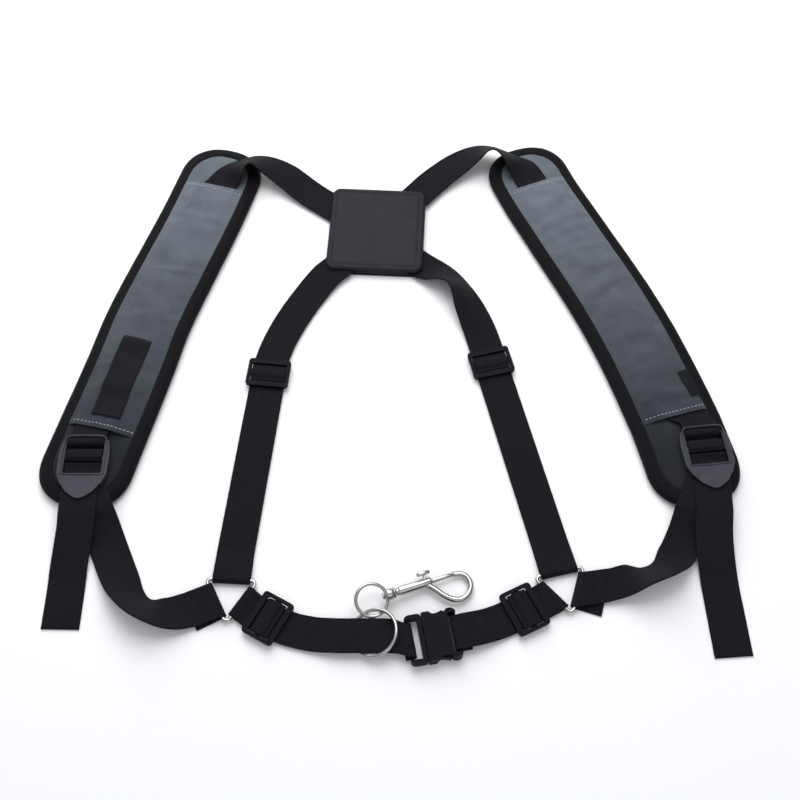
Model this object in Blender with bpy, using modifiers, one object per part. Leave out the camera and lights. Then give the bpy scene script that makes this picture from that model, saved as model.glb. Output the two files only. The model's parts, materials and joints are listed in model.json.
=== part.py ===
"""Padded two-shoulder harness for a wind instrument, laid flat on a table.

Origin: centre of the back plate's rear face. +X runs to the wearer's second pad, +Y from the belt
towards the plate, +Z up from the table. Lengths below are millimetres; MM turns them into metres.
"""
import math

import bmesh
import bpy
from mathutils import Matrix, Vector

MM = 0.001
GAP = 0.3                     # clearance between pieces that touch

# Webbing
WEB_WIDTH = 30.0
WEB_THICK = 1.6
TABLE_LAYER = 0.8             # centre height of a web that lies on the table
SECOND_LAYER = 2.8            # centre height of a web that lies on another

# Shoulder pads
PAD_HALF_WIDTH = 39.5
PAD_END_ROUND = 38.0          # length of a pad's rounded end
PAD_LENGTH = 395.0
SLEEVE_ENDS = (50.0, 66.0)    # bare pad above and below the sleeve
BINDING_LIP = 11.0            # how far the binding reaches in over the pad
BINDING_THICK = 0.9
PAD_THICK = 9.6
PAD_FACE_TOP = 9.3
SLEEVE_THICK = 1.0
SLEEVE_STEPS = 14
SLEEVE_MOUTH = 3.0            # how far the sleeve's lower mouth gapes over the web
PAD_LAYER = PAD_THICK + GAP + WEB_THICK / 2             # web lying on a pad
PAD_SECOND_LAYER = PAD_LAYER + WEB_THICK + 0.4          # web lying on that web

LABEL_WIDTH = 26.0
LABEL_THICK = 0.6
TAG_WIDTH = 9.0

# Back plate
PLATE_SIZE = (90.0, 97.0)
PLATE_CORNER = 8.0
PLATE_TURN = -3.0             # degrees about Z
PLATE_REAR_THICK = 1.9
PLATE_THICK = 9.2
CROSS_LOW = 3.2               # centre height of the lower of the two webs that cross in the plate
CROSS_HIGH = 5.3

# Strap adjusters
SLIDER_WIDTH = 37.0
SLIDER_LENGTH = 27.0
SLIDER_BAR = 4.5
SLIDER_SLOT_WIDTH = 31.6
SLIDER_BASE = SECOND_LAYER + WEB_THICK / 2 + 0.3
SLIDER_THICK = 2.8

LOCK_BAR_RADIUS = 1.8
LOCK_WRAP = LOCK_BAR_RADIUS + GAP + WEB_THICK / 2       # web centre line round a lock bar
LOCK_BAR_PITCH = 15.0         # top bar to middle bar
LOCK_BAR_Z = PAD_LAYER + LOCK_WRAP

# Metal hardware
TRIANGLE_WIRE = 1.5
TRIANGLE_WRAP = TRIANGLE_WIRE + GAP + WEB_THICK / 2
TRIANGLE_Z = TABLE_LAYER + TRIANGLE_WRAP
BELT_RING_RADIUS = 18.3
BELT_RING_WIRE = 1.5
BELT_RING_CENTRE = (2.0, -393.0, 7.9)
BELT_RING_TILT = 20.0

MODEL = bpy.data.collections.new("instrument_harness")
CUTTERS = bpy.data.collections.new("cutters")


def clear_scene():
    for obj in list(bpy.data.objects):
        bpy.data.objects.remove(obj, do_unlink=True)


def material(name, colour, roughness, metallic=0.0):
    made = bpy.data.materials.new(name)
    made.use_nodes = True
    shader = made.node_tree.nodes["Principled BSDF"]
    shader.inputs["Base Color"].default_value = (*colour, 1.0)
    shader.inputs["Roughness"].default_value = roughness
    shader.inputs["Metallic"].default_value = metallic
    made.diffuse_color = (*colour, 1.0)
    return made


def add_object(name, mesh, finish, collection=None):
    obj = bpy.data.objects.new(name, mesh)
    (collection or MODEL).objects.link(obj)
    if finish:
        mesh.materials.clear()
        mesh.materials.append(finish)
    return obj


def flat_direction(degrees):
    angle = math.radians(degrees)
    return Vector((math.cos(angle), math.sin(angle), 0.0))


# ---------------------------------------------------------------- webbing

def catmull_rom(rows, per_span):
    """Rows of equal-length tuples joined by a smooth curve with per_span steps between rows."""
    ends = [tuple(2 * a - b for a, b in zip(rows[0], rows[1]))]
    ends += list(rows)
    ends.append(tuple(2 * a - b for a, b in zip(rows[-1], rows[-2])))
    smooth = []
    for i in range(1, len(ends) - 2):
        for step in range(per_span):
            t = step / per_span
            row = []
            for p0, p1, p2, p3 in zip(ends[i - 1], ends[i], ends[i + 1], ends[i + 2]):
                value = 2 * p1 + (p2 - p0) * t
                value += (2 * p0 - 5 * p1 + 4 * p2 - p3) * t * t
                value += (3 * p1 - p0 - 3 * p2 + p3) * t ** 3
                row.append(value / 2)
            smooth.append(tuple(row))
    smooth.append(tuple(rows[-1]))
    return smooth


def route(rows, per_span=3):
    """Stations (point, across) of a web. A row is x, y, z, heading and roll in degrees."""
    stations = []
    for x, y, z, heading, roll in catmull_rom(rows, per_span):
        across = flat_direction(heading - 90) * math.cos(math.radians(roll))
        across.z = math.sin(math.radians(roll))
        stations.append((Vector((x, y, z)), across))
    return stations


def straight(start, end, heading):
    """A straight, flat run of web between two points."""
    across = flat_direction(heading - 90)
    return [(Vector(start), across.copy()), (Vector(end), across.copy())]


def wrap(centre, heading, radius, first, last, steps=8):
    """A web going round a bar. Angles are degrees above the heading, seen with it to the right."""
    along = flat_direction(heading)
    across = flat_direction(heading - 90)
    stations = []
    for i in range(steps + 1):
        angle = math.radians(first + (last - first) * i / steps)
        point = Vector(centre) + along * (radius * math.cos(angle))
        point.z += radius * math.sin(angle)
        stations.append((point, across.copy()))
    return stations


def web(name, stations, finish, width=WEB_WIDTH, thickness=WEB_THICK):
    """A flat strap: an open strip along the stations, given its thickness by Solidify."""
    mesh = bpy.data.meshes.new(name)
    form = bmesh.new()
    pairs = []
    for point, across in stations:
        half = across.normalized() * (width / 2)
        pairs.append((form.verts.new((point - half) * MM), form.verts.new((point + half) * MM)))
    for (a, b), (c, d) in zip(pairs, pairs[1:]):
        form.faces.new((a, b, d, c))
    form.to_mesh(mesh)
    form.free()
    obj = add_object(name, mesh, finish)
    thick = obj.modifiers.new("thickness", "SOLIDIFY")
    thick.thickness = thickness * MM
    thick.offset = 0.0
    thick.use_even_offset = True
    return obj


# ---------------------------------------------------------------- outlines and cuts

def slab(name, outline, low, high, finish, collection=None):
    """A flat outline of (x, y) points filled and given a height from low to high."""
    curve = bpy.data.curves.new(name, "CURVE")
    curve.dimensions = "2D"
    curve.fill_mode = "BOTH"
    curve.extrude = (high - low) / 2 * MM
    spline = curve.splines.new("POLY")
    spline.points.add(len(outline) - 1)
    for point, (x, y) in zip(spline.points, outline):
        point.co = (x * MM, y * MM, 0.0, 1.0)
    spline.use_cyclic_u = True
    drawn = bpy.data.objects.new(name + "_outline", curve)
    bpy.context.scene.collection.objects.link(drawn)
    bpy.context.view_layer.update()
    evaluated = drawn.evaluated_get(bpy.context.evaluated_depsgraph_get())
    mesh = bpy.data.meshes.new_from_object(evaluated)
    mesh.transform(Matrix.Translation((0, 0, (low + high) / 2 * MM)))
    bpy.data.objects.remove(drawn, do_unlink=True)
    form = bmesh.new()
    form.from_mesh(mesh)
    bmesh.ops.remove_doubles(form, verts=form.verts, dist=0.00001)
    bmesh.ops.recalc_face_normals(form, faces=form.faces)
    form.to_mesh(mesh)
    form.free()
    return add_object(name, mesh, finish, collection)


def tube(name, points, radius, finish, closed=False, sides=2, collection=None):
    """A wire along a list of points, as a welded mesh."""
    curve = bpy.data.curves.new(name, "CURVE")
    curve.dimensions = "3D"
    curve.bevel_depth = radius * MM
    curve.bevel_resolution = sides
    curve.use_fill_caps = not closed
    spline = curve.splines.new("POLY")
    spline.points.add(len(points) - 1)
    for point, place in zip(spline.points, points):
        point.co = (place[0] * MM, place[1] * MM, place[2] * MM, 1.0)
    spline.use_cyclic_u = closed
    drawn = bpy.data.objects.new(name + "_line", curve)
    bpy.context.scene.collection.objects.link(drawn)
    bpy.context.view_layer.update()
    evaluated = drawn.evaluated_get(bpy.context.evaluated_depsgraph_get())
    mesh = bpy.data.meshes.new_from_object(evaluated)
    bpy.data.objects.remove(drawn, do_unlink=True)
    form = bmesh.new()
    form.from_mesh(mesh)
    bmesh.ops.remove_doubles(form, verts=form.verts, dist=0.00001)
    bmesh.ops.recalc_face_normals(form, faces=form.faces)
    form.to_mesh(mesh)
    form.free()
    mesh.shade_smooth()
    return add_object(name, mesh, finish, collection)


def cut(obj, cutters, operation="DIFFERENCE"):
    for tool in cutters:
        for linked in list(tool.users_collection):
            linked.objects.unlink(tool)
        CUTTERS.objects.link(tool)
        tool.hide_render = True
        tool.display_type = "WIRE"
        step = obj.modifiers.new(operation.lower(), "BOOLEAN")
        step.operation = operation
        step.object = tool


def place(points, centre, turn):
    """Outline points in a piece's own axes, moved to its place in plan."""
    angle = math.radians(turn)
    placed = []
    for x, y in points:
        placed.append((centre[0] + x * math.cos(angle) - y * math.sin(angle),
                       centre[1] + x * math.sin(angle) + y * math.cos(angle)))
    return placed


def box_outline(x0, x1, y0, y1):
    return [(x0, y0), (x1, y0), (x1, y1), (x0, y1)]


def rounded_box(length, width, corner, steps=4):
    """Outline of a rectangle with round corners, centred on its own axes."""
    points = []
    for quarter, (sx, sy) in enumerate(((1, 1), (-1, 1), (-1, -1), (1, -1))):
        for i in range(steps + 1):
            angle = math.radians(90 * quarter + 90 * i / steps)
            points.append((sx * (length / 2 - corner) + corner * math.cos(angle),
                           sy * (width / 2 - corner) + corner * math.sin(angle)))
    return points


# ---------------------------------------------------------------- shoulder pads

def pad_edges(axis, stops, inset):
    """Left and right edge points of a pad at the given distances along its centre line."""
    line = [Vector((x, y, 0)) for x, y in catmull_rom(axis, 8)]
    reach = [0.0]
    for a, b in zip(line, line[1:]):
        reach.append(reach[-1] + (b - a).length)
    total = reach[-1]
    left, right = [], []
    for stop in stops:
        stop = stop if stop >= 0 else total + stop
        i = max(k for k in range(len(reach) - 1) if reach[k] <= stop + 1e-6)
        point = line[i].lerp(line[i + 1], (stop - reach[i]) / (reach[i + 1] - reach[i]))
        heading = (line[min(i + 2, len(line) - 1)] - line[max(i - 1, 0)]).normalized()
        side = Vector((-heading.y, heading.x, 0))
        from_end = min(stop, total - stop) - inset
        round_part = min(1.0, max(0.0, 1 - from_end / (PAD_END_ROUND - inset * 0.5)))
        width = (PAD_HALF_WIDTH - inset) * (1 - round_part ** 2.3) ** (1 / 2.3)
        left.append(point + side * width)
        right.append(point - side * width)
    return left, right


def pad_outline(axis, inset):
    """A pad's outline, drawn in from its edge by inset; the same number of points at any inset."""
    near = [inset + PAD_END_ROUND * share for share in (0.004, 0.03, 0.1, 0.22, 0.4, 0.65, 1.0)]
    middle = [PAD_LENGTH * share / 10 for share in range(2, 9)]
    far = [-stop for stop in reversed(near)]
    left, right = pad_edges(axis, near + middle + far, inset)
    return [(point.x, point.y) for point in left + list(reversed(right))]


def make_binding(name, axis, finish):
    """The binding tape: a C section, open inwards, carried round the pad's edge."""
    rims = [pad_outline(axis, inset) for inset in (BINDING_LIP, BINDING_THICK / 2)]
    low, high = BINDING_THICK / 2, PAD_THICK - BINDING_THICK / 2
    rows = [(rims[0], low), (rims[1], low), (rims[1], high), (rims[0], high)]
    form = bmesh.new()
    loops = [[form.verts.new((x * MM, y * MM, z * MM)) for x, y in rim] for rim, z in rows]
    count = len(loops[0])
    for inner, outer in zip(loops, loops[1:]):
        for i in range(count):
            j = (i + 1) % count
            form.faces.new((inner[i], inner[j], outer[j], outer[i]))
    bmesh.ops.recalc_face_normals(form, faces=form.faces)
    mesh = bpy.data.meshes.new(name)
    form.to_mesh(mesh)
    form.free()
    obj = add_object(name, mesh, finish)
    thick = obj.modifiers.new("thickness", "SOLIDIFY")
    thick.thickness = BINDING_THICK * MM
    thick.offset = 0.0
    thick.use_even_offset = True
    return obj


def make_sleeve(name, axis, finish):
    """The face panel that holds the strap down: an open-ended tunnel across the pad."""
    stops = [SLEEVE_ENDS[0] + (PAD_LENGTH - sum(SLEEVE_ENDS)) * share / SLEEVE_STEPS
             for share in range(SLEEVE_STEPS + 1)]
    left, right = pad_edges(axis, stops, BINDING_LIP + 0.8)
    web_top = PAD_LAYER + WEB_THICK / 2 + GAP + SLEEVE_THICK / 2
    foot = PAD_FACE_TOP + GAP + SLEEVE_THICK / 2
    section = ((0.0, 0.0), (0.07, 1.0), (0.93, 1.0), (1.0, 0.0))
    form = bmesh.new()
    rows = []
    for i, (a, b) in enumerate(zip(left, right)):
        mouth = SLEEVE_MOUTH if i == SLEEVE_STEPS else 0.0
        row = []
        for share, raised in section:
            height = foot + raised * (web_top + mouth - foot)
            row.append(form.verts.new((*(a.lerp(b, share).xy * MM), height * MM)))
        rows.append(row)
    for near, far in zip(rows, rows[1:]):
        for i in range(len(section) - 1):
            form.faces.new((near[i], near[i + 1], far[i + 1], far[i]))
    bmesh.ops.recalc_face_normals(form, faces=form.faces)
    mesh = bpy.data.meshes.new(name)
    form.to_mesh(mesh)
    form.free()
    obj = add_object(name, mesh, finish)
    thick = obj.modifiers.new("thickness", "SOLIDIFY")
    thick.thickness = SLEEVE_THICK * MM
    thick.offset = 0.0
    return obj


def make_pad(side, axis, finishes):
    slab(f"pad_{side}_lining", pad_outline(axis, BINDING_LIP + 0.8), 0.0, 1.0, finishes["lining"])
    slab(f"pad_{side}_foam", pad_outline(axis, BINDING_THICK + GAP), 1.3, 8.0, finishes["foam"])
    slab(f"pad_{side}_face", pad_outline(axis, BINDING_LIP + 0.8), 8.3, PAD_FACE_TOP,
         finishes["grey_fabric"])
    make_binding(f"pad_{side}_binding", axis, finishes["binding"])
    make_sleeve(f"pad_{side}_sleeve", axis, finishes["grey_fabric"])


PAD_AXIS_LEFT = [(-144, 99), (-168, 13), (-202, -94), (-216, -155), (-237, -242), (-247, -286)]
PAD_AXIS_RIGHT = [(137, 101), (154, 52), (179, -3), (209, -68), (230, -120), (248, -176),
                  (263, -232), (271, -285)]


def make_pad_labels(finish):
    """A blank woven patch on the left sleeve and a blank folded tag at the right sleeve's side."""
    sleeve_top = PAD_LAYER + WEB_THICK / 2 + GAP + SLEEVE_THICK
    patch = route([(-209.5, -127, sleeve_top + 0.6, 256, 0), (-220, -170, sleeve_top + 0.6, 256, 0),
                   (-228, -206, sleeve_top + 2.1, 258, 0)], 2)
    web("pad_left_label", patch, finish, LABEL_WIDTH, LABEL_THICK)
    tag = route([(267, -160, 13.8, -70, 0), (272, -174, 13.9, -70, 0), (276, -184.5, 14.0, -70, 0)], 1)
    web("pad_right_tag", tag, finish, TAG_WIDTH, LABEL_THICK)


# ---------------------------------------------------------------- back plate

def make_back_plate(finishes):
    length, width = PLATE_SIZE
    outline = place(rounded_box(length, width, PLATE_CORNER), (0, 0), PLATE_TURN)
    inner = place(rounded_box(length - 12, width - 12, PLATE_CORNER - 3), (0, 0), PLATE_TURN)
    board = place(rounded_box(length - 14, width - 14, PLATE_CORNER - 4), (0, 0), PLATE_TURN)
    rear_top = PLATE_REAR_THICK
    slab("back_plate_rear", outline, 0.0, rear_top, finishes["leatherette"])
    front = slab("back_plate_front", outline, rear_top + GAP, PLATE_THICK, finishes["leatherette"])
    web_top = CROSS_HIGH + WEB_THICK / 2 + GAP
    hollow = slab("front_hollow", inner, rear_top - 1, PLATE_THICK - 1.3, None, CUTTERS)
    way_low = slab("way_low", place(rounded_box(150, WEB_WIDTH + 6, 1), (-2.4, -3), -38), rear_top - 1,
                   web_top, None, CUTTERS)
    way_high = slab("way_high", place(rounded_box(150, WEB_WIDTH + 3.2, 1), (0, 0), 49),
                    rear_top - 1.5, web_top + 0.01, None, CUTTERS)
    cut(front, [hollow, way_low, way_high])
    slab("back_plate_board", board, web_top, PLATE_THICK - 1.3 - GAP, finishes["board"])


# ---------------------------------------------------------------- rings, bars and loops

RING_LEFT = ((-112.0, -360.5), -93.0)        # centre in plan, and azimuth of the lowest corner
RING_RIGHT = ((151.0, -353.5), -77.0)
RING_CORNER = 24.2                           # centre to a corner of the wire
RING_SIDE = RING_CORNER / 2                  # centre to the middle of a side


def make_triangle_ring(name, ring, finish):
    (cx, cy), turn = ring
    points = []
    for corner in range(3):
        azimuth = turn + 120 * corner
        for off in (-62, -31, 0, 31, 62):
            inner = flat_direction(azimuth) * (RING_CORNER - 2 * 3.0)
            bend = flat_direction(azimuth + off) * 3.0
            points.append((cx + inner.x + bend.x, cy + inner.y + bend.y, TRIANGLE_Z))
    tube(name, points, TRIANGLE_WIRE, finish, closed=True)


def ring_side(ring, outward):
    """Middle of the side of a triangle ring whose outward direction is nearest the azimuth."""
    (cx, cy), turn = ring
    normals = [turn + 60 + 120 * i for i in range(3)]
    normal = min(normals, key=lambda n: abs((n - outward + 180) % 360 - 180))
    point = flat_direction(normal) * RING_SIDE
    return (cx + point.x, cy + point.y, TRIANGLE_Z), normal


def ring_loop(ring, outward, flap):
    """A web that arrives at a ring's side, goes round the wire and runs back underneath."""
    wire, normal = ring_side(ring, outward)
    heading = normal + 180
    loop = wrap(wire, heading, TRIANGLE_WRAP, 90, -90)
    if flap:
        back = flat_direction(normal) * flap
        end = loop[-1][0] + back
        loop.append((end, loop[-1][1].copy()))
    return loop


def ring_return(ring, outward, rows):
    """The layer of web that runs back from a ring's side, under the first."""
    wire, normal = ring_side(ring, outward)
    start = Vector(wire) + flat_direction(normal) * 0.5
    across = flat_direction(normal - 90)
    stations = [(Vector((start.x, start.y, TABLE_LAYER)), across)]
    return stations + route(rows, 2)


def make_slider(name, centre, heading, finishes):
    """A three-bar adjuster lying on its web, and the arch of web that passes over its middle bar."""
    half = SLIDER_LENGTH / 2
    outline = rounded_box(SLIDER_LENGTH, SLIDER_WIDTH, 2.5, 2)
    turn = heading
    body = slab(name, place(outline, centre, turn), SLIDER_BASE, SLIDER_BASE + SLIDER_THICK,
                finishes["black_plastic"])
    slot_length = (SLIDER_LENGTH - 3 * SLIDER_BAR) / 2
    tools = []
    for side in (-1, 1):
        middle = side * (SLIDER_BAR + slot_length) / 2
        at = place([(middle, 0)], centre, turn)[0]
        slot = rounded_box(slot_length, SLIDER_SLOT_WIDTH, 0.8, 1)
        tools.append(slab(f"{name}_slot{side}", place(slot, at, turn), SLIDER_BASE - 2,
                          SLIDER_BASE + 5, None, CUTTERS))
    low = slab(f"{name}_sunk_bar", place(rounded_box(SLIDER_BAR + 2, SLIDER_SLOT_WIDTH, 0.5, 1),
                                         centre, turn), SLIDER_BASE + 1.4, SLIDER_BASE + 5, None,
               CUTTERS)
    cut(body, tools + [low])
    along = flat_direction(heading)
    across = flat_direction(heading - 90)
    bar_top = SLIDER_BASE + 1.4 + GAP + WEB_THICK / 2
    foot = SLIDER_BASE + WEB_THICK / 2
    profile = [(-half + SLIDER_BAR + 1.4, foot), (-4.6, foot + 0.4), (-2.6, bar_top - 0.1),
               (0, bar_top + 0.1), (2.6, bar_top - 0.1), (4.6, foot + 0.4),
               (half - SLIDER_BAR - 1.4, foot)]
    stations = []
    for reach, z in profile:
        point = Vector((centre[0], centre[1], z)) + along * reach
        stations.append((point, across.copy()))
    web(name + "_web", stations, finishes["webbing"])


# ---------------------------------------------------------------- ladder locks

LOCK_LEFT = ((-240.0, -231.0), -90.0)        # middle of the top bar, and heading of the tongue
LOCK_RIGHT = ((275.5, -222.0), -84.0)
LOCK_BASE = LOCK_BAR_Z - 1.9
LOCK_TOP = LOCK_BAR_Z + 2.5
LOCK_WINDOW = 31.8


def make_ladder_lock(name, lock, finish):
    """Frame with two bars and a lifting tongue; its own X runs along the tongue."""
    centre, heading = lock
    outline = [(-3, -16), (-3, 16), (-1, 18.5), (4, 20), (12, 21), (30, 20.5), (38, 17), (46, 11),
               (51, 4), (52, 0), (51, -4), (46, -11), (38, -17), (30, -20.5), (12, -21), (4, -20),
               (-1, -18.5)]
    body = slab(name, place(outline, centre, heading), LOCK_BASE, LOCK_TOP, finish)
    window = place(rounded_box(34, LOCK_WINDOW, 1, 1), place([(12.5, 0)], centre, heading)[0],
                   heading)
    hole = slab(name + "_window", window, LOCK_BASE - 2, LOCK_TOP + 2, None, CUTTERS)
    under = slab(name + "_under", place(box_outline(27, 60, -16.3, 16.3), centre, heading),
                 LOCK_BASE - 2, PAD_SECOND_LAYER + WEB_THICK / 2 + 0.5, None, CUTTERS)
    cut(body, [hole, under])
    across = flat_direction(heading - 90) * (LOCK_WINDOW / 2 + 0.8)
    for i, reach in enumerate((0, LOCK_BAR_PITCH)):
        x, y = place([(reach, 0)], centre, heading)[0]
        middle = Vector((x, y, LOCK_BAR_Z))
        bar = tube(f"{name}_bar{i}", [middle - across, middle + across], LOCK_BAR_RADIUS, None,
                   collection=CUTTERS)
        cut(body, [bar], "UNION")


def lock_bar(lock, reach):
    x, y = place([(reach, 0)], *lock)[0]
    return x, y, LOCK_BAR_Z


# ---------------------------------------------------------------- side-release buckle

BUCKLE_CENTRE = (47.5, -396.0)
BUCKLE_TURN = 10.0
BUCKLE_Z = 6.0
BUCKLE_BAR = 18.6             # buckle centre to the bar that each web loops round
BUCKLE_BAR_HALF = 1.3
BUCKLE_WRAP = BUCKLE_BAR_HALF * 1.42 + GAP + WEB_THICK / 2
BUCKLE_CAVITY = 17.4
PRONG_PIVOT = (-6.6, 14.0)
PRONG_RATE = 0.0146           # radians that a prong bends in for each millimetre of release


def buckle_slab(name, outline, low, high, finish, collection=None):
    return slab(name, place(outline, BUCKLE_CENTRE, BUCKLE_TURN), low, high, finish, collection)


def make_buckle(finish):
    half = [(-20.2, -16.4), (-19.7, -17.6), (-18.4, -18.8), (-16.5, -19.4), (-9.8, -19.4),
            (-8, -19), (-7, -17.6), (-7, -4), (8, -3)]
    male = half + [(x, -y) for x, y in reversed(half)]
    body = buckle_slab("buckle_male", male, 2.2, 9.8, finish)
    tools = [buckle_slab("male_slot", box_outline(-17.3, -10.5, -15.9, 15.9), 0, 12, None, CUTTERS)]
    for side, (low, high) in (("under", (0, BUCKLE_Z - BUCKLE_BAR_HALF)),
                              ("over", (BUCKLE_Z + BUCKLE_BAR_HALF, 12))):
        tools.append(buckle_slab(f"male_bar_{side}", box_outline(-24, -16, -15.6, 15.6), low, high,
                                 None, CUTTERS))
        level = (0, 3.4) if side == "under" else (8.6, 12)
        tools.append(buckle_slab(f"male_guide_{side}", box_outline(-6.9, 10, -5, 5), *level, None,
                                 CUTTERS))
    cut(body, tools)

    half = [(-6.6, -18.6), (-5.6, -19.4), (-0.5, -19.4), (1, -17.8), (2.4, -17), (10, -17),
            (12, -17.8), (13.4, -19.3), (15.6, -19.6), (17.6, -19.2), (19.2, -18.2),
            (20.2, -16.8)]
    female = half + [(x, -y) for x, y in reversed(half)]
    shell = buckle_slab("buckle_female", female, 0.6, 11.4, finish)
    tools = [buckle_slab("cavity", box_outline(-8, 9.5, -BUCKLE_CAVITY, BUCKLE_CAVITY), 2.8, 9.2,
                         None, CUTTERS),
             buckle_slab("windows", box_outline(0.6, 12.4, -25, 25), 2.79, 9.21, None, CUTTERS),
             buckle_slab("female_slot", box_outline(13.8, 17.3, -15.9, 15.9), 0, 12, None, CUTTERS)]
    for name, (low, high) in (("bar_under", (0, BUCKLE_Z - BUCKLE_BAR_HALF)),
                              ("bar_over", (BUCKLE_Z + BUCKLE_BAR_HALF, 12))):
        tools.append(buckle_slab(name, box_outline(16, 24, -15.6, 15.6), low, high, None, CUTTERS))
    cut(shell, tools)

    ramp = [(x, BUCKLE_CAVITY - 0.4 + PRONG_RATE * x * (x + 6.6)) for x in (1, 4, 7, 10)]
    arm = [(-5.6, 11.7), (4, 12.5), (9, 12.8), (11.5, 14.5), (11.8, 17.5)]
    arm += list(reversed(ramp)) + [(-1, 16.2), (-6.6, 15.5)]
    for name, sign in (("upper", 1), ("lower", -1)):
        outline = [(x, sign * y) for x, y in arm]
        buckle_slab(f"buckle_prong_{name}", outline, 3.4, 8.6, finish)


def buckle_loop(end, flap):
    """The loop of web round the male (end -1) or female (end 1) half's bar."""
    x, y = place([(end * BUCKLE_BAR, 0)], BUCKLE_CENTRE, BUCKLE_TURN)[0]
    heading = BUCKLE_TURN + (0 if end < 0 else 180)
    loop = wrap((x, y, BUCKLE_Z), heading, BUCKLE_WRAP, 90, -90)
    back = loop[-1][0] - flat_direction(heading) * flap
    loop.append((back, loop[-1][1].copy()))
    return loop


# ---------------------------------------------------------------- belt ring and snap hook

EYE_CENTRE = Vector((0.0, -367.5, 10.0))
EYE_NORMAL = Vector((0.18, -0.246, 1.0)).normalized()
EYE_RADIUS = 12.6
EYE_WIRE = 1.4
HOOK_AZIMUTH = 20.0
HOOK_DROP = -0.085            # the hook's slope from the eye down to the table
HOOK_WIRE = 2.3
BARREL = (22.0, 50.0)
BARREL_RADIUS = 3.7
BOLT_RADIUS = 1.8
BOLT_ENDS = (37.0, 67.0)


def hook_frame():
    along = Vector((math.cos(math.radians(HOOK_AZIMUTH)), math.sin(math.radians(HOOK_AZIMUTH)),
                    HOOK_DROP)).normalized()
    left = Vector((-along.y, along.x, 0)).normalized()
    return along, left, along.cross(left)


def hook_point(s, t, n=0.0):
    along, left, up = hook_frame()
    return EYE_CENTRE + along * s + left * t + up * n


def ring_points(centre, normal, radius, steps):
    side = Vector((1, 0, 0)) - normal * normal.x
    side.normalize()
    other = normal.cross(side)
    points = []
    for i in range(steps):
        angle = math.tau * i / steps
        points.append(centre + side * (radius * math.cos(angle)) + other * (radius * math.sin(angle)))
    return points


def rod(name, start, end, radius, finish=None, sides=3, collection=None):
    return tube(name, [start, end], radius, finish, sides=sides, collection=collection)


def make_belt_ring(finish):
    tilt = math.radians(BELT_RING_TILT)
    normal = Vector((-math.sin(tilt), 0, math.cos(tilt)))
    points = ring_points(Vector(BELT_RING_CENTRE), normal, BELT_RING_RADIUS, 28)
    tube("belt_ring", points, BELT_RING_WIRE, finish, closed=True)


def make_hook(finishes):
    metal = finishes["nickel"]
    eye = tube("hook_eye", ring_points(EYE_CENTRE, EYE_NORMAL, EYE_RADIUS, 24), EYE_WIRE, metal,
               closed=True)
    boss = rod("eye_boss", hook_point(11.4, 0), hook_point(17.4, 0), 4.6, collection=CUTTERS)
    bore = rod("eye_bore", hook_point(8, 0), hook_point(20, 0), 1.9, sides=2, collection=CUTTERS)
    cut(eye, [boss], "UNION")
    cut(eye, [bore])

    body = rod("hook_body", hook_point(BARREL[0], 0), hook_point(BARREL[1], 0), BARREL_RADIUS, metal)
    cut(body, [
        rod("hook_stem", hook_point(18.6, 0), hook_point(BARREL[0] + 1, 0), 3.0, collection=CUTTERS),
        rod("hook_collar", hook_point(17.8, 0), hook_point(19.2, 0), 4.3, collection=CUTTERS),
        rod("swivel_pin", hook_point(9.8, 0), hook_point(19, 0), 1.5, sides=2,
            collection=CUTTERS),
        rod("swivel_head", hook_point(8.8, 0), hook_point(10.5, 0), 2.6, collection=CUTTERS),
    ], "UNION")
    bend = [(46, -2.2), (50, -7), (55, -14), (61, -19.5), (68, -21.4), (74.5, -18.6), (78.6, -12.5),
            (78.4, -6), (74.5, -1.6), (69, -0.2)]
    claw = tube("hook_claw", [hook_point(s, t) for s, t in catmull_rom(bend, 2)], HOOK_WIRE, None,
                sides=2, collection=CUTTERS)
    cut(body, [claw], "UNION")
    slot_ends = [hook_point(s, 3.4) for s in (33, 52)]
    cut(body, [
        rod("bolt_bore", hook_point(26, 0), hook_point(54, 0), BOLT_RADIUS + GAP, sides=2,
            collection=CUTTERS),
        rod("knob_slot", *slot_ends, 2.2, sides=2, collection=CUTTERS),
    ])

    bolt = rod("hook_bolt", hook_point(BOLT_ENDS[0], 0), hook_point(BOLT_ENDS[1], 0), BOLT_RADIUS,
               metal, sides=2)
    post = rod("knob_post", hook_point(46, 0.6), hook_point(46, 6.4), 1.2, sides=1,
               collection=CUTTERS)
    cut(bolt, [post], "UNION")
    rod("hook_thumb_knob", hook_point(40.5, 8.3), hook_point(51.5, 8.3), 1.6, metal, sides=2)
    make_hook_spring(finishes["spring_steel"])


def make_hook_spring(finish):
    turns, steps, radius = 6, 8, 1.35
    first, last = 27.0, BOLT_ENDS[0] - 0.9
    points = []
    for i in range(turns * steps + 1):
        angle = math.tau * i / steps
        reach = first + (last - first) * i / (turns * steps)
        points.append(hook_point(reach, radius * math.cos(angle), radius * math.sin(angle)))
    tube("hook_spring", points, 0.3, finish, sides=0)


# ---------------------------------------------------------------- the webs

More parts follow.
